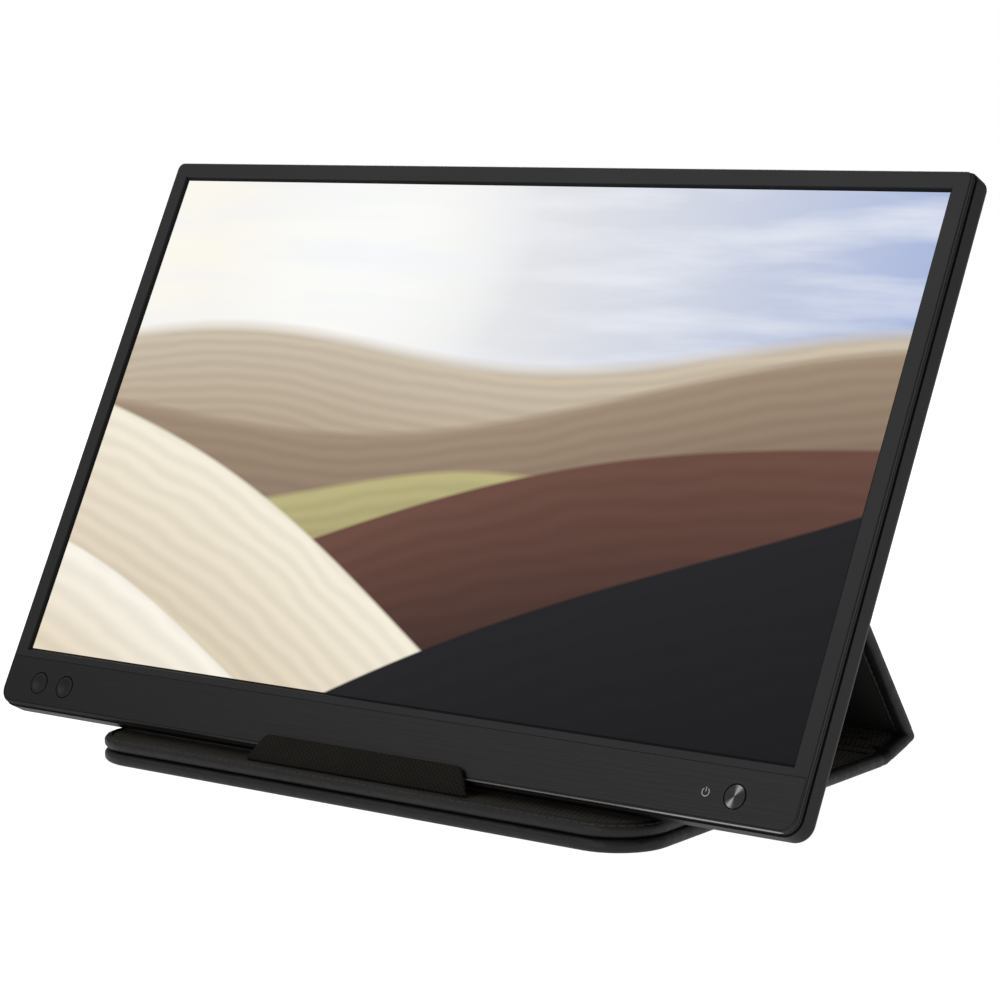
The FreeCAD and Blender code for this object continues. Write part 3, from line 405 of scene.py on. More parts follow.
# Chin strip: hairline-brushed dark trim under the screen, with a satin sheen and streaks
# along it; painted shade darkens its left end, and painted light makes it lighter, with clearer streaks,
# towards the right end.
FINE_STREAKS, BROAD_STREAKS = ((20.0, 2200.0, 0.0), 4.0), ((34.0, 900.0, 0.0), 3.0)
STREAK_CONTRAST, STREAK_SHIFT = 2.6, -0.25
# Painted light across the strip: how the streaks grow clearer and the tone lighter towards the right,
# and how dark the left end is painted.
LIT_GROWTH, LIT_AT_MIDDLE = 2.2, 0.55
LIT_TONE_GROWTH, SHADED_TONE = 0.4, 0.15
STRIP_ROUGHNESS, STRIP_CHANGE, STRIP_METAL = 0.32, 0.16, 0.35


def brushed_group():
    """Hairlines along the strip: thin light and dark streaks with a matching bump, painted darker at the
    left end and lighter towards the right as painted shade and light.
    """
    group, given, result = new_group(
        "hairlines",
        {
            "Place": (VECTOR, None),
            "Dark": (COLOUR, (0.006, 0.006, 0.0065, 1)),
            "Light": (COLOUR, (0.02, 0.02, 0.021, 1)),
            "Bump": (FLOAT, 0.2),
        },
        {"Colour": COLOUR, "Roughness": FLOAT, "Normal": VECTOR},
    )
    levels = []
    for scale, detail in (FINE_STREAKS, BROAD_STREAKS):
        drawn = add_node(group, "ShaderNodeMapping", None, {"Vector": given["Place"]})
        drawn.inputs["Scale"].default_value = scale
        levels.append(noise(group, drawn.outputs[0], 1.0, detail))
    streak = math_node(group, "MULTIPLY", *levels)
    streak = math_node(group, "MULTIPLY_ADD", streak, STREAK_CONTRAST, STREAK_SHIFT, clamp=True)
    across = split_place(group, given["Place"])[0]
    # Painted shade and light: darker at the left end, lighter with clearer streaks towards the right.
    clear = math_node(group, "MULTIPLY_ADD", across, LIT_GROWTH, LIT_AT_MIDDLE, clamp=True)
    lit_tone = math_node(group, "MULTIPLY_ADD", clear, LIT_TONE_GROWTH, SHADED_TONE)
    streak = math_node(group, "SUBTRACT", streak, 0.5)
    streak = math_node(group, "MULTIPLY_ADD", streak, clear, lit_tone)
    rough = math_node(group, "MULTIPLY_ADD", streak, STRIP_CHANGE, STRIP_ROUGHNESS)
    group.links.new(mix_colours(group, streak, given["Dark"], given["Light"]), result["Colour"])
    group.links.new(rough, result["Roughness"])
    group.links.new(bumped(group, streak, given["Bump"], GRAIN_DEPTH), result["Normal"])
    return group


def brushed_material():
    """Half-metallic trim with the hairlines."""
    material, tree, shader = new_material("brushed strip")
    dress(tree, shader, use_group(tree, brushed_group(), {"Place": screen_place(tree)}))
    shader.inputs["Metallic"].default_value = STRIP_METAL
    return material


paint(brushed_material(), "chin_strip")

# Buttons: the power button has a spun metal face with fine turning marks, and a fan of
# painted highlight stands for the light those marks throw; the two menu buttons are smooth black
# plastic.
BUTTON_UP, POWER_ACROSS = 0.0096, 0.1547
# The fan settings and the two fan colours paint the highlight; the turning marks are a bump.
FAN_COUNT, FAN_TURN, FAN_SHARPNESS, TURNING_MARKS = 2.0, -0.8, 9.0, 26000.0
FAN_DARK, FAN_HIGHLIGHT = (0.035, 0.035, 0.037), (0.42, 0.42, 0.43)


def spun_material(centre_across, centre_up):
    """Turned metal about a button's middle, with a painted highlight along two opposite fans."""
    material, tree, shader = new_material("spun metal")
    place = split_place(tree, screen_place(tree))
    across = math_node(tree, "SUBTRACT", place[0], centre_across)
    up = math_node(tree, "SUBTRACT", place[1], centre_up)
    angle = math_node(tree, "ARCTAN2", up, across)
    fan = math_node(tree, "SINE", math_node(tree, "MULTIPLY_ADD", angle, FAN_COUNT, FAN_TURN))
    fan = math_node(tree, "POWER", math_node(tree, "MULTIPLY_ADD", fan, 0.5, 0.5), FAN_SHARPNESS)
    squares = [math_node(tree, "POWER", value, 2.0) for value in (across, up)]
    radius = math_node(tree, "SQRT", math_node(tree, "ADD", *squares))
    ring = math_node(tree, "SINE", math_node(tree, "MULTIPLY", radius, TURNING_MARKS))
    # Painted highlight along the fans.
    tree.links.new(mix_colours(tree, fan, FAN_DARK, FAN_HIGHLIGHT), shader.inputs["Base Color"])
    marks = bumped(tree, ring, strength=0.12, distance=0.0001)
    tree.links.new(marks, shader.inputs["Normal"])
    shader.inputs["Metallic"].default_value = 0.8
    shader.inputs["Roughness"].default_value = 0.34
    return material


paint(spun_material(POWER_ACROSS, BUTTON_UP), "power_button")
paint(grained("menu button plastic", (0.0045, 0.0045, 0.005), grain=2200.0, bump=0.03, roughness=0.4,
              specular=0.36), "menu_button_outer", "menu_button_inner")

# Power sign: the usual broken ring and bar, printed in pale grey beside the power button.
SIGN_ACROSS, SIGN_RING, SIGN_LINE, PRINT_HEIGHT = 0.1437, 0.00135, 0.0003, 0.00002
SIGN_HALF_GAP, SIGN_STEPS, BAR_LOW, BAR_HIGH = 38, 24, 0.15, 1.25


def mesh_piece(name, points, faces, material, body, smooth=True):
    """A mesh of the object that rides on one body, or on none yet."""
    data = bpy.data.meshes.new(name)
    data.from_pydata(points, [], faces)
    data.validate()
    data.materials.append(material)
    if smooth:
        data.shade_smooth()
    made = bpy.data.objects.new(name, data)
    scene.collection.objects.link(made)
    if body:
        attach(made, body)
    return made


def on_screen_plane(across, up, out):
    """A point given in the screen's own plane, in the row frame."""
    back, lift = math.sin(TILT), math.cos(TILT)
    return (across, EDGE_Y + up * back - out * lift, EDGE_Z + up * lift + out * back)


def power_sign():
    """Broken ring and bar as one thin printed shape."""
    ring = []
    for i in range(SIGN_STEPS + 1):
        angle = math.radians(90 + SIGN_HALF_GAP + i * (360 - 2 * SIGN_HALF_GAP) / SIGN_STEPS)
        ring.append([(SIGN_ACROSS + r * math.cos(angle), BUTTON_UP + r * math.sin(angle))
                     for r in (SIGN_RING - SIGN_LINE / 2, SIGN_RING + SIGN_LINE / 2)])
    bar = [[(SIGN_ACROSS + side * SIGN_LINE / 2, BUTTON_UP + SIGN_RING * end) for side in (-1, 1)]
           for end in (BAR_LOW, BAR_HIGH)]
    points, faces = [], []
    for strip in (ring, bar):
        for i, pair in enumerate(strip):
            if i:
                n = len(points)
                faces.append((n - 2, n - 1, n + 1, n))
            points += [on_screen_plane(*place, PRINT_HEIGHT) for place in pair]
    pale = grained("pale print", (0.5, 0.5, 0.5), grain=3000.0, bump=0.0, roughness=0.5)
    return mesh_piece("power_sign", points, faces, pale, "monitor", smooth=False)


power_sign()

# Inside of the monitor and the leaves: boards, screws, socket, cables and sheets in their
# plain finishes.
paint(grained("socket steel", (0.5, 0.5, 0.51), grain=1200.0, bump=0.05, roughness=0.3, metal=1.0),
      "usb_socket", "panel_tray", "board_shield", "board_screws", "catch_plate", "prop_magnets")
paint(grained("board lacquer", (0.02, 0.1, 0.05), grain=700.0, bump=0.1, roughness=0.4),
      "main_board", "driver_board", "menu_key_board", "power_key_board", "led_bar")
paint(grained("clear sheet", (0.8, 0.82, 0.84), grain=400.0, bump=0.02, roughness=0.2, tone=0.03),
      "optical_films", "light_guide", "reflector_sheet")
paint(grained("cable film", (0.4, 0.22, 0.05), grain=500.0, bump=0.03, roughness=0.35),
      "display_ribbon", "key_cable")
paint(grained("switch plastic", (0.03, 0.03, 0.03), grain=1500.0, bump=0.1, roughness=0.5),
      "key_switches")
paint(grained("stiff board", (0.24, 0.22, 0.19), grain=600.0, bump=0.2, roughness=0.8),
      "base_board", "shelf_board", "spine_board", "prop_board")

# Cover leaves: soft black grained leather turned over a board, with a rounded rim, a sewn
# line just inside it and a lining set a little below the rim. The lining runs on over the
# rear folds, so a leaf's rim is slim and lined there.
HALF_LEAF, LEAF_ROUND, RIM, SHELF_RIM = 0.0023, 0.00212, 0.006, 0.0029
COVER_FRONT, BASE_CREASE, REAR_CREASE = -0.08805, (0.08805, 0.0023), (0.104829, 0.008242)
BASE_LENGTH, SHELF_LENGTH, SPINE_LENGTH, PROP_LENGTH = 0.1761, 0.076, 0.0178, 0.175745
FRONT_HALF, REAR_HALF, LEAF_END = 0.12625, 0.1077, 0.0026
SHELF_LIFT, SPINE_RISE, PROP_TURN = 0.0049, 19.5, 125.0
SHARP, LEAST_CORNER = 0.0007, 0.0006
TAPERED_CORNERS, PROP_CORNERS = (0.0195, 0.0195, SHARP, SHARP), (SHARP, SHARP, 0.016, 0.016)
CORNER_STEPS, SIDE_STEPS, FOLD_SHARE = 10, 40, 0.3
SIDE_BLOCK = CORNER_STEPS + SIDE_STEPS
FRONT_SIDE, REAR_SIDE = 0, 2
STITCH_FROM_RIM, STITCH_DEPTH, SEAM_ANGLE, SEAM_DEPTH = 0.0011, 0.00013, 52.5, 0.00022
EDGE_START, EDGE_STEP, EDGE_END = -90, 15, 90
# Sections as (inset, height): the underside from the leaf's bottom, the groove and the lip
# from the rim's top, the lining from its own top.
UNDERSIDE = ((0.03, 0.0), (0.008, 0.00005), (0.0042, 0.00003))
GROOVE = ((-0.0005, 0.00004), (-0.00015, -0.00016), (0.0, -0.00022), (0.00015, -0.00016),
          (0.00045, 0.0001))
LIP = ((-0.00045, 0.00016), (-0.0002, 0.0001), (0.0, -0.0002), (0.0, -0.0009))
LINING_DROP = 0.0004
SHEET = ((0.0002, -0.0006), (0.0002, -0.0001), (0.0006, 0.0), (0.002, 0.0001),
         (0.006, 0.00005), (0.016, 0.0))
# Leather and weave: scales of their textures, and how these turn into tone and shine.
PEBBLE_SCALE, CREASE_SCALE, WAVE_SCALE, TONE_SCALE = 1100.0, 180.0, 150.0, 30.0
CREASE_SHARE, LEATHER_CHANGE, LEATHER_ROUGHNESS = 0.8, 0.14, 0.36
LEATHER_DARK, LEATHER_LIGHT = (0.006, 0.006, 0.0059), (0.0135, 0.013, 0.0126)
THREAD_SCALE, HOLE_CONTRAST, HOLE_SHIFT, HOLE_TONE = 90.0, 1.6, -0.4, 0.3
Leaf = namedtuple("Leaf", "name corners radii place body rim folds")


def inset_ring(corners, radii, inset):
    """Points round a leaf's outline moved inwards, with its corners rounded."""
    count = len(corners)
    moved = []
    for i in range(count):
        (x0, y0), (x1, y1), (x2, y2) = corners[i - 1], corners[i], corners[(i + 1) % count]
        first, second = math.atan2(y1 - y0, x1 - x0), math.atan2(y2 - y1, x2 - x1)
        middle, spread = (first + second) / 2, math.cos((second - first) / 2)
        if second < first:
            middle, spread = middle + math.pi, -spread
        reach = inset / spread
        moved.append((x1 - reach * math.sin(middle), y1 + reach * math.cos(middle), first, second))
    points = []
    for i, (x, y, first, second) in enumerate(moved):
        turn = (second - first) % (2 * math.pi)
        radius = max(radii[i] - inset, LEAST_CORNER)
        reach = radius * math.tan(turn / 2)
        start = (x - reach * math.cos(first), y - reach * math.sin(first))
        centre = (start[0] - radius * math.sin(first), start[1] + radius * math.cos(first))
        for k in range(CORNER_STEPS + 1):
            angle = first + turn * k / CORNER_STEPS - math.pi / 2
            points.append((centre[0] + radius * math.cos(angle), centre[1] + radius * math.sin(angle)))
        next_x, next_y, _, next_second = moved[(i + 1) % count]
        next_turn = (next_second - second) % (2 * math.pi)
        next_reach = max(radii[(i + 1) % count] - inset, LEAST_CORNER) * math.tan(next_turn / 2)
        end = (next_x - next_reach * math.cos(second), next_y - next_reach * math.sin(second))
        last = points[-1]
        for k in range(1, SIDE_STEPS):
            share = k / SIDE_STEPS
            points.append(tuple(a + (b - a) * share for a, b in zip(last, end)))
    return points


def opened(corners, folds, inset):
    """Corners with the sides along a fold moved out, so that they are inset by less."""
    moved = list(corners)
    for side in folds:
        for i, other in ((side, side - 1), (side + 1, (side + 2) % len(corners))):
            (x0, y0), (x1, y1) = corners[other], corners[i]
            share = inset * (1 - FOLD_SHARE) / math.hypot(x1 - x0, y1 - y0)
            moved[i] = (x1 + (x1 - x0) * share, y1 + (y1 - y0) * share)
    return moved


def ringed_solid(corners, radii, profile, place, folds=()):
    """Closed skin through outline rings at (inset, height), capped at both ends."""
    points, faces = [], []
    for inset, height in profile:
        ring = inset_ring(opened(corners, folds if height > 0 else (), inset), radii, inset)
        points += [place(x, y, height) for x, y in ring]
    n = len(points) // len(profile)
    for r in range(len(profile) - 1):
        for i in range(n):
            j = (i + 1) % n
            faces.append((r * n + i, r * n + j, (r + 1) * n + j, (r + 1) * n + i))
    faces.append(tuple(reversed(range(n))))
    faces.append(tuple(range((len(profile) - 1) * n, len(profile) * n)))
    return points, faces


def flat_place(front, lift):
    """Lays a leaf flat on the table or on another leaf."""
    return lambda x, y, z: (x, front + y, lift + z)


def folded_place(crease, turn):
    """Turns a leaf about its crease line."""
    c, s = math.cos(math.radians(turn)), math.sin(math.radians(turn))
    return lambda x, y, z: (x, crease[0] + y * c - z * s, crease[1] + y * s + z * c)


def unplaced(x, y, z):
    """Leaves a point of a leaf where it is on the flat leaf."""
    return (x, y, z)


def on_edge(angle, depth):
    """Place on a leaf's rounded edge, some way under its surface, as (inset, height)."""
    radius, turn = LEAF_ROUND - depth, math.radians(angle)
    shift = math.copysign(HALF_LEAF - LEAF_ROUND, angle)
    return (LEAF_ROUND - radius * math.cos(turn), shift + radius * math.sin(turn))


def skin_profile(rim):
    """Section of the leather from the underside round the edge to inside the rim."""
    profile = [(inset, rise - HALF_LEAF) for inset, rise in UNDERSIDE]
    groove = [(rim - STITCH_FROM_RIM + inset, HALF_LEAF + rise) for inset, rise in GROOVE]
    wide = groove[0][0] > LEAF_ROUND
    for angle in range(EDGE_START, EDGE_END + 1, EDGE_STEP):
        profile.append(on_edge(angle, 0.0))
        if not wide and angle < SEAM_ANGLE < angle + EDGE_STEP:
            profile.append(on_edge(SEAM_ANGLE, SEAM_DEPTH))
    if wide:
        profile += groove
    return profile + [(rim + inset, HALF_LEAF + rise) for inset, rise in LIP]


def lining_profile(rim):
    """Section of the lining: a thin woven sheet, a little full towards its edges."""
    return [(rim + inset, HALF_LEAF - LINING_DROP + rise) for inset, rise in SHEET]


def leather_material():
    """Black leather, a little wavy, with pebbled grain that is glossier on its tops."""
    material, tree, shader = new_material("cover leather")
    place = object_place(tree)
    pebble = add_node(tree, "ShaderNodeTexVoronoi", None, {"Vector": place}, Scale=PEBBLE_SCALE)
    crease = noise(tree, place, CREASE_SCALE, detail=4.0)
    height = math_node(tree, "MULTIPLY_ADD", crease, CREASE_SHARE, pebble.outputs["Distance"])
    colour = mix_colours(tree, noise(tree, place, TONE_SCALE), LEATHER_DARK, LEATHER_LIGHT)
    tree.links.new(colour, shader.inputs["Base Color"])
    rough = math_node(tree, "MULTIPLY_ADD", height, LEATHER_CHANGE, LEATHER_ROUGHNESS)
    tree.links.new(rough, shader.inputs["Roughness"])
    wavy = bumped(tree, noise(tree, place, WAVE_SCALE, detail=1.0), strength=0.4, distance=0.0016)
    pebbled = bumped(tree, height, strength=0.28, distance=0.0002, under=wavy)
    tree.links.new(pebbled, shader.inputs["Normal"])
    shader.inputs["Specular IOR Level"].default_value = 0.36
    return material


def weave_material(name, colour, light, pitch):
    """Woven mesh cloth: holes in a staggered grid, at a pitch across and along."""
    material, tree, shader = new_material(name)
    place = add_node(tree, "ShaderNodeAttribute", {"attribute_name": "cloth"}).outputs["Vector"]
    waves = []
    for distance, length in zip(split_place(tree, place), pitch):
        turn = math_node(tree, "MULTIPLY", distance, math.tau / length)
        waves.append(math_node(tree, "SINE", turn))
    knots = math_node(tree, "MULTIPLY", *waves)
    hole = math_node(tree, "MULTIPLY_ADD", knots, HOLE_CONTRAST, HOLE_SHIFT, clamp=True)
    thread = mix_colours(tree, noise(tree, place, THREAD_SCALE, detail=3.0), colour, light)
    woven = mix_colours(tree, hole, thread, tuple(c * HOLE_TONE for c in colour))
    tree.links.new(woven, shader.inputs["Base Color"])
    sunk = bumped(tree, hole, strength=0.5, distance=0.0004, invert=True)
    tree.links.new(sunk, shader.inputs["Normal"])
    shader.inputs["Roughness"].default_value = 0.86
    shader.inputs["Specular IOR Level"].default_value = 0.12
    return material


LEATHER = leather_material()
SMOOTH_LINING = grained("prop lining", (0.02, 0.0197, 0.0188), grain=900.0, bump=0.12, roughness=0.66,
                        specular=0.3)
LINING = weave_material("lining cloth", (0.044, 0.0408, 0.0336), (0.083, 0.0772, 0.0645),
                        pitch=(0.002, 0.0048))


def add_cloth_place(piece, flat_points):
    """Stores each point's place on the flat cloth, for the weave to follow."""
    layer = piece.data.attributes.new("cloth", "FLOAT_VECTOR", "POINT")
    for item, point in zip(layer.data, flat_points):
        item.vector = point


def leaf_mesh(leaf, ending, profile, material):
    """One piece of a leaf with a section, and its points on the flat leaf."""
    shape = (leaf.corners, leaf.radii, profile)
    points, faces = ringed_solid(*shape, leaf.place, leaf.folds)
    flat = ringed_solid(*shape, unplaced, leaf.folds)[0]
    made = mesh_piece(leaf.name + ending, points, faces, material, leaf.body)
    add_cloth_place(made, flat)
    return made, flat


def leaf_skin(leaf, profile, cloth):
    """Leather of one leaf, lined on its inner side where it runs into a fold."""
    skin, flat = leaf_mesh(leaf, "_leather", profile, LEATHER)
    skin.data.materials.append(cloth)
    around = len(leaf.corners) * SIDE_BLOCK
    for face in skin.data.polygons[:(len(profile) - 1) * around]:
        row, step = divmod(face.index, around)
        side, step = divmod(step, SIDE_BLOCK)
        at_fold = side in leaf.folds and step >= CORNER_STEPS and profile[row][1] > 0
        if at_fold and all(abs(flat[i][0]) < REAR_HALF - leaf.rim for i in face.vertices):
            face.material_index = 1
    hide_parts(leaf.name + "_skin")


def leaf_lining(leaf, cloth):
    """Lining of one leaf, with its place on the flat cloth."""
    lining = leaf_mesh(leaf, "_cloth", lining_profile(leaf.rim), cloth)[0]
    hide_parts(leaf.name + "_lining")
    return lining


def lined_leaf(leaf, cloth):
    """Leather skin and lining of one leaf, standing for its CAD nodes."""
    leaf_skin(leaf, skin_profile(leaf.rim), cloth)
    lining = leaf_lining(leaf, cloth)


def tapered(end):
    """Corners of a leaf from the cover's front edge to a length along it."""
    half = FRONT_HALF + (REAR_HALF - FRONT_HALF) * end / BASE_LENGTH
    return [(-FRONT_HALF, 0), (FRONT_HALF, 0), (half, end), (-half, end)]


def straight(start, end):
    """Corners of a leaf of the cover's rear width between two lengths."""
    return [(-REAR_HALF, start), (REAR_HALF, start), (REAR_HALF, end), (-REAR_HALF, end)]


BASE = Leaf("base", tapered(BASE_LENGTH - LEAF_END), TAPERED_CORNERS,
            flat_place(COVER_FRONT, HALF_LEAF), "base", RIM, (REAR_SIDE,))
SHELF = Leaf("shelf", tapered(SHELF_LENGTH), TAPERED_CORNERS,
             flat_place(COVER_FRONT, SHELF_LIFT + HALF_LEAF), "base", SHELF_RIM, ())
PROP = Leaf("prop", straight(LEAF_END, PROP_LENGTH), PROP_CORNERS,
            folded_place(REAR_CREASE, PROP_TURN), "prop", RIM, (FRONT_SIDE,))
lined_leaf(BASE, LINING)
lined_leaf(SHELF, LINING)
lined_leaf(PROP, SMOOTH_LINING)

# Spine: the narrow leaf between the two rear folds, bound in the same leather at its two
# ends, with the lining running over it from fold to fold.
SPINE = Leaf("spine", straight(LEAF_END, SPINE_LENGTH - LEAF_END), (SHARP,) * 4,
             folded_place(BASE_CREASE, SPINE_RISE), "spine", RIM, (FRONT_SIDE, REAR_SIDE))
spine_profile = [item for item in skin_profile(RIM) if item[0] <= LEAF_ROUND or item[1] > 0]
leaf_skin(SPINE, spine_profile, LINING)
leaf_lining(SPINE, LINING)

# Creases: soft leather webs, lined inside, that join the leaves along the two rear folds
# and are curved round each fold at its present angle.
WEB_HALF, WEB_REACH, WEB_STATIONS = 0.10765, 0.0042, 24
WEB_OUTER_DROP, WEB_INNER_DROP = 0.0001, 0.0006
REACH_STEPS, FOLD_STEPS, VALLEY_STEPS = 3, 12, 10
OUTER_POINTS = 2 * REACH_STEPS + FOLD_STEPS + 1
FIRST_ANGLE, ANGLE_STEP, ANGLE_COUNT = 4, 14.3, 7
END_ANGLES = [math.radians(FIRST_ANGLE + ANGLE_STEP * k) for k in range(ANGLE_COUNT)]


def web_section(crease, first, second, size):
    """Outline of a web across its fold: round outside, a soft valley inside."""
    outer, inner = (HALF_LEAF - WEB_OUTER_DROP) * size, (HALF_LEAF - WEB_INNER_DROP) * size

    def along(turn, distance, offset):
        """Point at a distance along a leaf from the crease, off its middle."""
        c, s = math.cos(turn), math.sin(turn)
        return (crease[0] + distance * c - offset * s, crease[1] + distance * s + offset * c)

    loop = [along(first, -WEB_REACH * (1 - k / REACH_STEPS), -outer) for k in range(REACH_STEPS)]
    for k in range(FOLD_STEPS + 1):
        angle = first + (second - first) * k / FOLD_STEPS - math.pi / 2
        loop.append((crease[0] + outer * math.cos(angle), crease[1] + outer * math.sin(angle)))
    loop += [along(second, WEB_REACH * (k + 1) / REACH_STEPS, -outer) for k in range(REACH_STEPS)]
    valley = along((first + second) / 2, 0, inner / math.cos((second - first) / 2))
    curve = (along(second, WEB_REACH, inner), valley, along(first, -WEB_REACH, inner))
    for k in range(VALLEY_STEPS + 1):
        t = k / VALLEY_STEPS
        loop.append(tuple((1 - t) ** 2 * a + 2 * t * (1 - t) * b + t * t * c for a, b, c in zip(*curve)))
    return loop


def web_stations():
    """Places along a web, with the size of its section: it closes towards its ends."""
    ends = [(LEAF_ROUND * (1 - math.cos(a)), math.sin(a)) for a in END_ANGLES]
    step = 2 * (WEB_HALF - LEAF_ROUND) / WEB_STATIONS
    stations = [(reach - WEB_HALF, size) for reach, size in ends]
    stations.append((RIM - WEB_HALF, 1.0))
    stations += [(LEAF_ROUND - WEB_HALF + step * k, 1.0) for k in range(1, WEB_STATIONS)]
    stations.append((WEB_HALF - RIM, 1.0))
    return stations + [(WEB_HALF - reach, size) for reach, size in reversed(ends)]


def crease_web(node, crease, first, second):
    """Leather web along one fold, lined inside and drawn in towards its rounded ends."""
    near, far = math.radians(first), math.radians(second)
    points, faces, stations = [], [], web_stations()
    for x, size in stations:
        loop = web_section(crease, near, far, size)
        points += [(x, y, z) for y, z in loop]
    n, last = len(loop), len(stations) - 1
    for r in range(last):
        for i in range(n):
            j = (i + 1) % n
            faces.append((r * n + i, (r + 1) * n + i, (r + 1) * n + j, r * n + j))
    faces.append(tuple(range(n)))
    faces.append(tuple(reversed(range(last * n, last * n + n))))
    web = mesh_piece(node + "_web", points, faces, LEATHER, None)
    web.data.materials.append(LINING)
    add_cloth_place(web, points)
    for face in web.data.polygons[:last * n]:
        r, i = divmod(face.index, n)
        lined = all(abs(x) < WEB_HALF - RIM / 2 for x, size in stations[r:r + 2])
        face.material_index = 1 if lined and OUTER_POINTS <= i < n - 1 else 0
    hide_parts(node)
    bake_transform(web)


crease_web("base_crease", BASE_CREASE, 0.0, SPINE_RISE)
crease_web("rear_crease", REAR_CREASE, SPINE_RISE, PROP_TURN)

# Stitching: one run of dark thread sunk in the groove round the base's and the prop's rim, and
# one in the seam along the shelf's rounded edge. The thread's grey is partly its own colour and partly a
# painted highlight, lighter than the leather, along the rims' inner edges.
THREAD = grained("sewing thread with painted highlight", (0.042, 0.041, 0.039), grain=2500.0, bump=0.2, roughness=0.6)


def stitch_tree():
    """Geometry Nodes: short rounded stitches set along a line at an even pitch."""
    tree = bpy.data.node_groups.new("stitches", "GeometryNodeTree")
    face = tree.interface
    face.new_socket("Line", in_out="INPUT", socket_type="NodeSocketGeometry")
    for title, kind, value in (
        ("Pitch", "NodeSocketFloat", 0.0032),
        ("Stitch length", "NodeSocketFloat", 0.0024),
        ("Thread radius", "NodeSocketFloat", 0.00017),
        ("Slant", "NodeSocketFloat", 0.06),
        ("Seed", "NodeSocketInt", 7),
        ("Thread", "NodeSocketMaterial", THREAD),
    ):
        face.new_socket(title, in_out="INPUT", socket_type=kind).default_value = value
    face.new_socket("Stitches", in_out="OUTPUT", socket_type="NodeSocketGeometry")
    given = tree.nodes.new("NodeGroupInput").outputs
    curve = add_node(tree, "GeometryNodeMeshToCurve", None, {"Mesh": given["Line"]})
    spaced = add_node(tree, "GeometryNodeCurveToPoints", {"mode": "LENGTH"},
                      {"Curve": curve.outputs[0], "Length": given["Pitch"]})
    rod = add_node(tree, "GeometryNodeMeshCylinder", {"fill_type": "TRIANGLE_FAN"},
                   {"Radius": given["Thread radius"], "Depth": given["Stitch length"]}, Vertices=8)
    aim = add_node(tree, "FunctionNodeAlignRotationToVector", {"axis": "Z"},
                   {"Vector": spaced.outputs["Tangent"]})
    back = math_node(tree, "MULTIPLY", given["Slant"], -1.0)
    lean = add_node(tree, "FunctionNodeRandomValue", {"data_type": "FLOAT"},
                    {2: back, 3: given["Slant"], "Seed": given["Seed"]})
    turn = add_node(tree, "FunctionNodeAxisAngleToRotation", None, {"Angle": lean.outputs[1]})
    both = add_node(tree, "FunctionNodeRotateRotation", None, {0: aim.outputs[0], 1: turn.outputs[0]})
    sewn = add_node(tree, "GeometryNodeInstanceOnPoints", None,
                    {"Points": spaced.outputs[0], "Instance": rod.outputs[0],
                     "Rotation": both.outputs[0]})
    real = add_node(tree, "GeometryNodeRealizeInstances", None, {0: sewn.outputs[0]})
    dyed = add_node(tree, "GeometryNodeSetMaterial", None,
                    {"Geometry": real.outputs[0], "Material": given["Thread"]})
    end = tree.nodes.new("NodeGroupOutput")
    tree.links.new(dyed.outputs[0], end.inputs["Stitches"])
    return tree


STITCHES = stitch_tree()


def sew(leaf, inset, height):
    """Stitches round one leaf but for its fold, kept as a plain mesh."""
    ring = inset_ring(opened(leaf.corners, leaf.folds, inset), leaf.radii, inset)
    if leaf.folds:
        fold = leaf.folds[0] * SIDE_BLOCK
        ring = ring[fold + SIDE_BLOCK + CORNER_STEPS:] + ring[:fold + 1]
    else:
        ring = ring + ring[:1]
    line = bpy.data.meshes.new(leaf.name + "_line")
    line.from_pydata([leaf.place(x, y, height) for x, y in ring],
                     [(i, i + 1) for i in range(len(ring) - 1)], [])
    guide = bpy.data.objects.new(leaf.name + "_line", line)
    scene.collection.objects.link(guide)
    maker = guide.modifiers.new("stitches", "NODES")
    maker.node_group = STITCHES
    made = bpy.data.meshes.new_from_object(guide.evaluated_get(bpy.context.evaluated_depsgraph_get()))
    guide.modifiers.remove(maker)
    bpy.data.objects.remove(guide)
    run = bpy.data.objects.new(leaf.name + "_stitches", made)
    scene.collection.objects.link(run)
    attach(run, leaf.body)


sew(BASE, RIM - STITCH_FROM_RIM, HALF_LEAF - STITCH_DEPTH)
sew(PROP, RIM - STITCH_FROM_RIM, HALF_LEAF - STITCH_DEPTH)
sew(SHELF, *on_edge(SEAM_ANGLE, STITCH_DEPTH))

# Tab: the stiffened cloth flap that stands up in front of the monitor's lower edge and
# keeps it from sliding.
TAB_HINGE, TAB_SHIFT, TAB_FOOT, TAB_HEAD = (-0.0821557, 0.0101), 0.0031, 0.0503, 0.0442
TAB_LENGTH, TAB_HALF, TAB_EDGE, TAB_CAP = 0.0092, 0.0009, 0.0008, 0.003
TAB_RADII = (0.0008, 0.0008, 0.0032, 0.0032)
TAB_EDGE_STEPS = 8


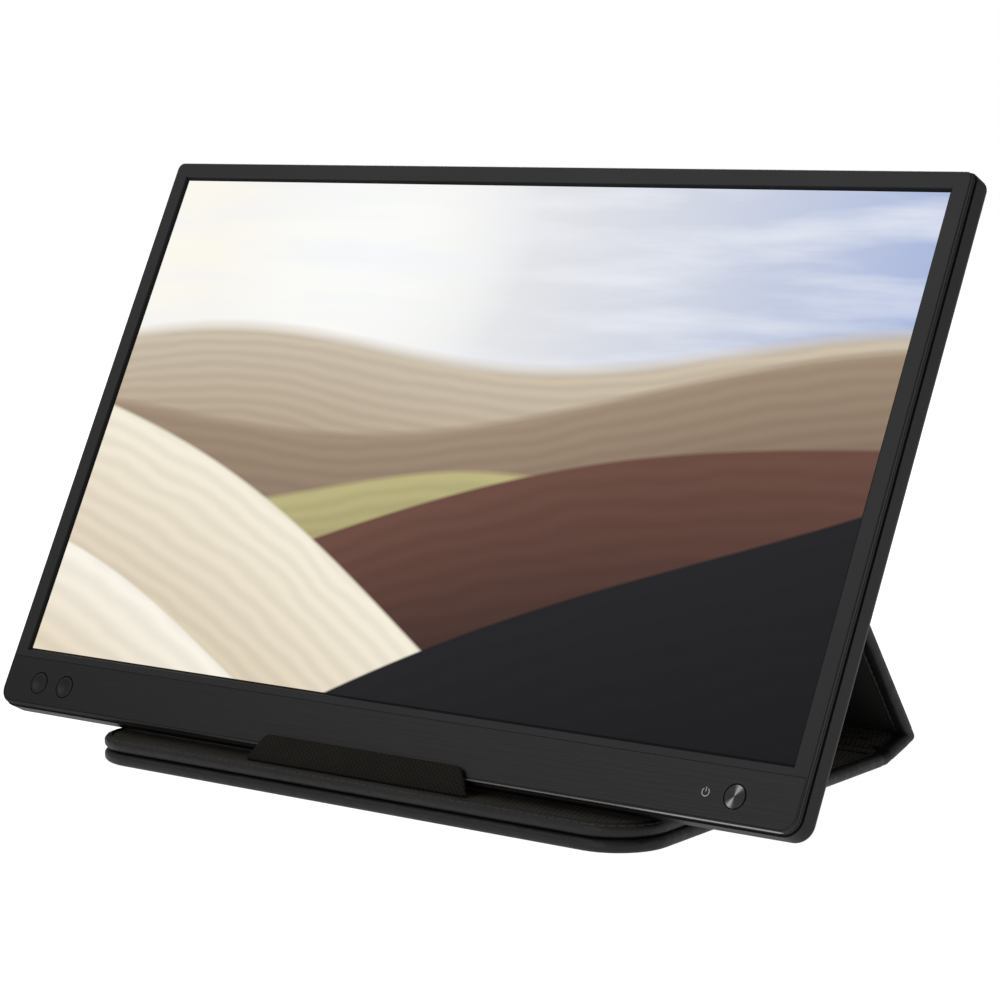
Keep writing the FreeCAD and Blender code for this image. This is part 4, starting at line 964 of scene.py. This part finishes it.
def stop_tab():
    """Flap with soft edges, woven cloth on both faces."""
    corners = [(-TAB_FOOT, -TAB_HALF), (TAB_FOOT, -TAB_HALF),
               (TAB_HEAD, TAB_LENGTH), (-TAB_HEAD, TAB_LENGTH)]
    profile = [(TAB_CAP, -TAB_HALF)]
    for k in range(TAB_EDGE_STEPS + 1):
        angle = math.radians(180 * k / TAB_EDGE_STEPS - 90)
        flat = TAB_HALF - TAB_EDGE if k > TAB_EDGE_STEPS / 2 else TAB_EDGE - TAB_HALF
        profile.append((TAB_EDGE - TAB_EDGE * math.cos(angle), TAB_EDGE * math.sin(angle) + flat))
    profile.append((TAB_CAP, TAB_HALF))
    fold = folded_place(TAB_HINGE, 90 - math.degrees(TILT))
    points, faces = ringed_solid(corners, TAB_RADII, profile, lambda x, y, z: fold(x + TAB_SHIFT, y, z))
    cloth = weave_material("tab cloth", (0.0118, 0.0106, 0.0085), (0.023, 0.0207, 0.0167),
                           pitch=(0.0019, 0.0019))
    tab = mesh_piece("tab_cloth", points, faces, cloth, "tab")
    add_cloth_place(tab, ringed_solid(corners, TAB_RADII, profile, unplaced)[0])
    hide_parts("stop_tab")


stop_tab()

# Studio: white sweep, soft light all round with a broad key from the upper left, a low one
# in front that reaches under the screen, and the camera where the photographer stood.
FLOOR_HALF, FLOOR_LIGHT, FLOOR_SEEN_MORE, ROOM_LIGHT = 6, 0.6, 0.36, 0.28
CAMERA_PLACE, CAMERA_TURN, CAMERA_LENS = (0.7065, -0.86085, 0.22833), (83.236, 0, 39.393), 113.53
# Each light: name, place, aim, size, power.
LIGHTS = (
    ("key", (-1.2, -1.4, 1.8), (0, 0, 0.1), 1.4, 7.5),
    ("fill", (2.0, 0.35, 0.6), (0, 0, 0.1), 1.0, 4.5),
    ("low front", (-0.1, -2.2, 0.4), (0, -0.08, 0.02), 1.0, 7.0),
    ("rim", (-1.3, 1.3, 1.5), (0, 0, 0.1), 1.2, 12.0),
)


def white_floor():
    """The sweep under the part, which shows white to the camera."""
    floor = bpy.data.objects.new("floor", bpy.data.meshes.new("floor"))
    corners = [(x * FLOOR_HALF, y * FLOOR_HALF, 0) for x, y in ((-1, -1), (1, -1), (1, 1), (-1, 1))]
    floor.data.from_pydata(corners, [], [(0, 1, 2, 3)])
    scene.collection.objects.link(floor)
    sweep = grained("white sweep", (0.5, 0.5, 0.5), grain=300.0, bump=0.0, roughness=0.9, tone=0.01,
                    specular=0.0)
    tree = sweep.node_tree
    shader = tree.nodes["Principled BSDF"]
    shader.inputs["Emission Color"].default_value = (1, 1, 1, 1)
    seen = add_node(tree, "ShaderNodeLightPath").outputs["Is Camera Ray"]
    light = math_node(tree, "MULTIPLY_ADD", seen, FLOOR_SEEN_MORE, FLOOR_LIGHT)
    tree.links.new(light, shader.inputs["Emission Strength"])
    floor.data.materials.append(sweep)
    return floor


def studio_world():
    """Room light all round, white where the camera sees it."""
    world = bpy.data.worlds.new("studio")
    scene.world = world
    world.use_nodes = True
    tree = world.node_tree
    path = add_node(tree, "ShaderNodeLightPath")
    both = add_node(tree, "ShaderNodeMixShader", None, {"Fac": path.outputs["Is Camera Ray"]})
    for slot, strength in ((1, ROOM_LIGHT), (2, 1.0)):
        light = add_node(tree, "ShaderNodeBackground", Color=(1, 1, 1, 1), Strength=strength)
        tree.links.new(light.outputs[0], both.inputs[slot])
    tree.links.new(both.outputs[0], tree.nodes["World Output"].inputs["Surface"])


def soft_light(name, place, aim, size, power):
    """A square soft box that points from one place at another."""
    data = bpy.data.lights.new(name, "AREA")
    data.size = size
    data.energy = power
    lamp = bpy.data.objects.new(name, data)
    scene.collection.objects.link(lamp)
    lamp.location = place
    away = [b - a for a, b in zip(place, aim)]
    flat = math.hypot(away[0], away[1])
    lamp.rotation_euler = (math.pi / 2 + math.atan2(away[2], flat), 0, math.atan2(-away[0], away[1]))


floor = white_floor()
studio_world()
for light in LIGHTS:
    soft_light(*light)

camera = bpy.data.objects.new("camera", bpy.data.cameras.new("camera"))
scene.collection.objects.link(camera)
camera.location = CAMERA_PLACE
camera.rotation_euler = [math.radians(angle) for angle in CAMERA_TURN]
camera.data.sensor_width = 36.0
camera.data.lens = CAMERA_LENS
camera.data.clip_start = 0.01
scene.camera = camera
scene.render.resolution_x = 1000
scene.render.resolution_y = 1000
scene.view_settings.view_transform = "Standard"
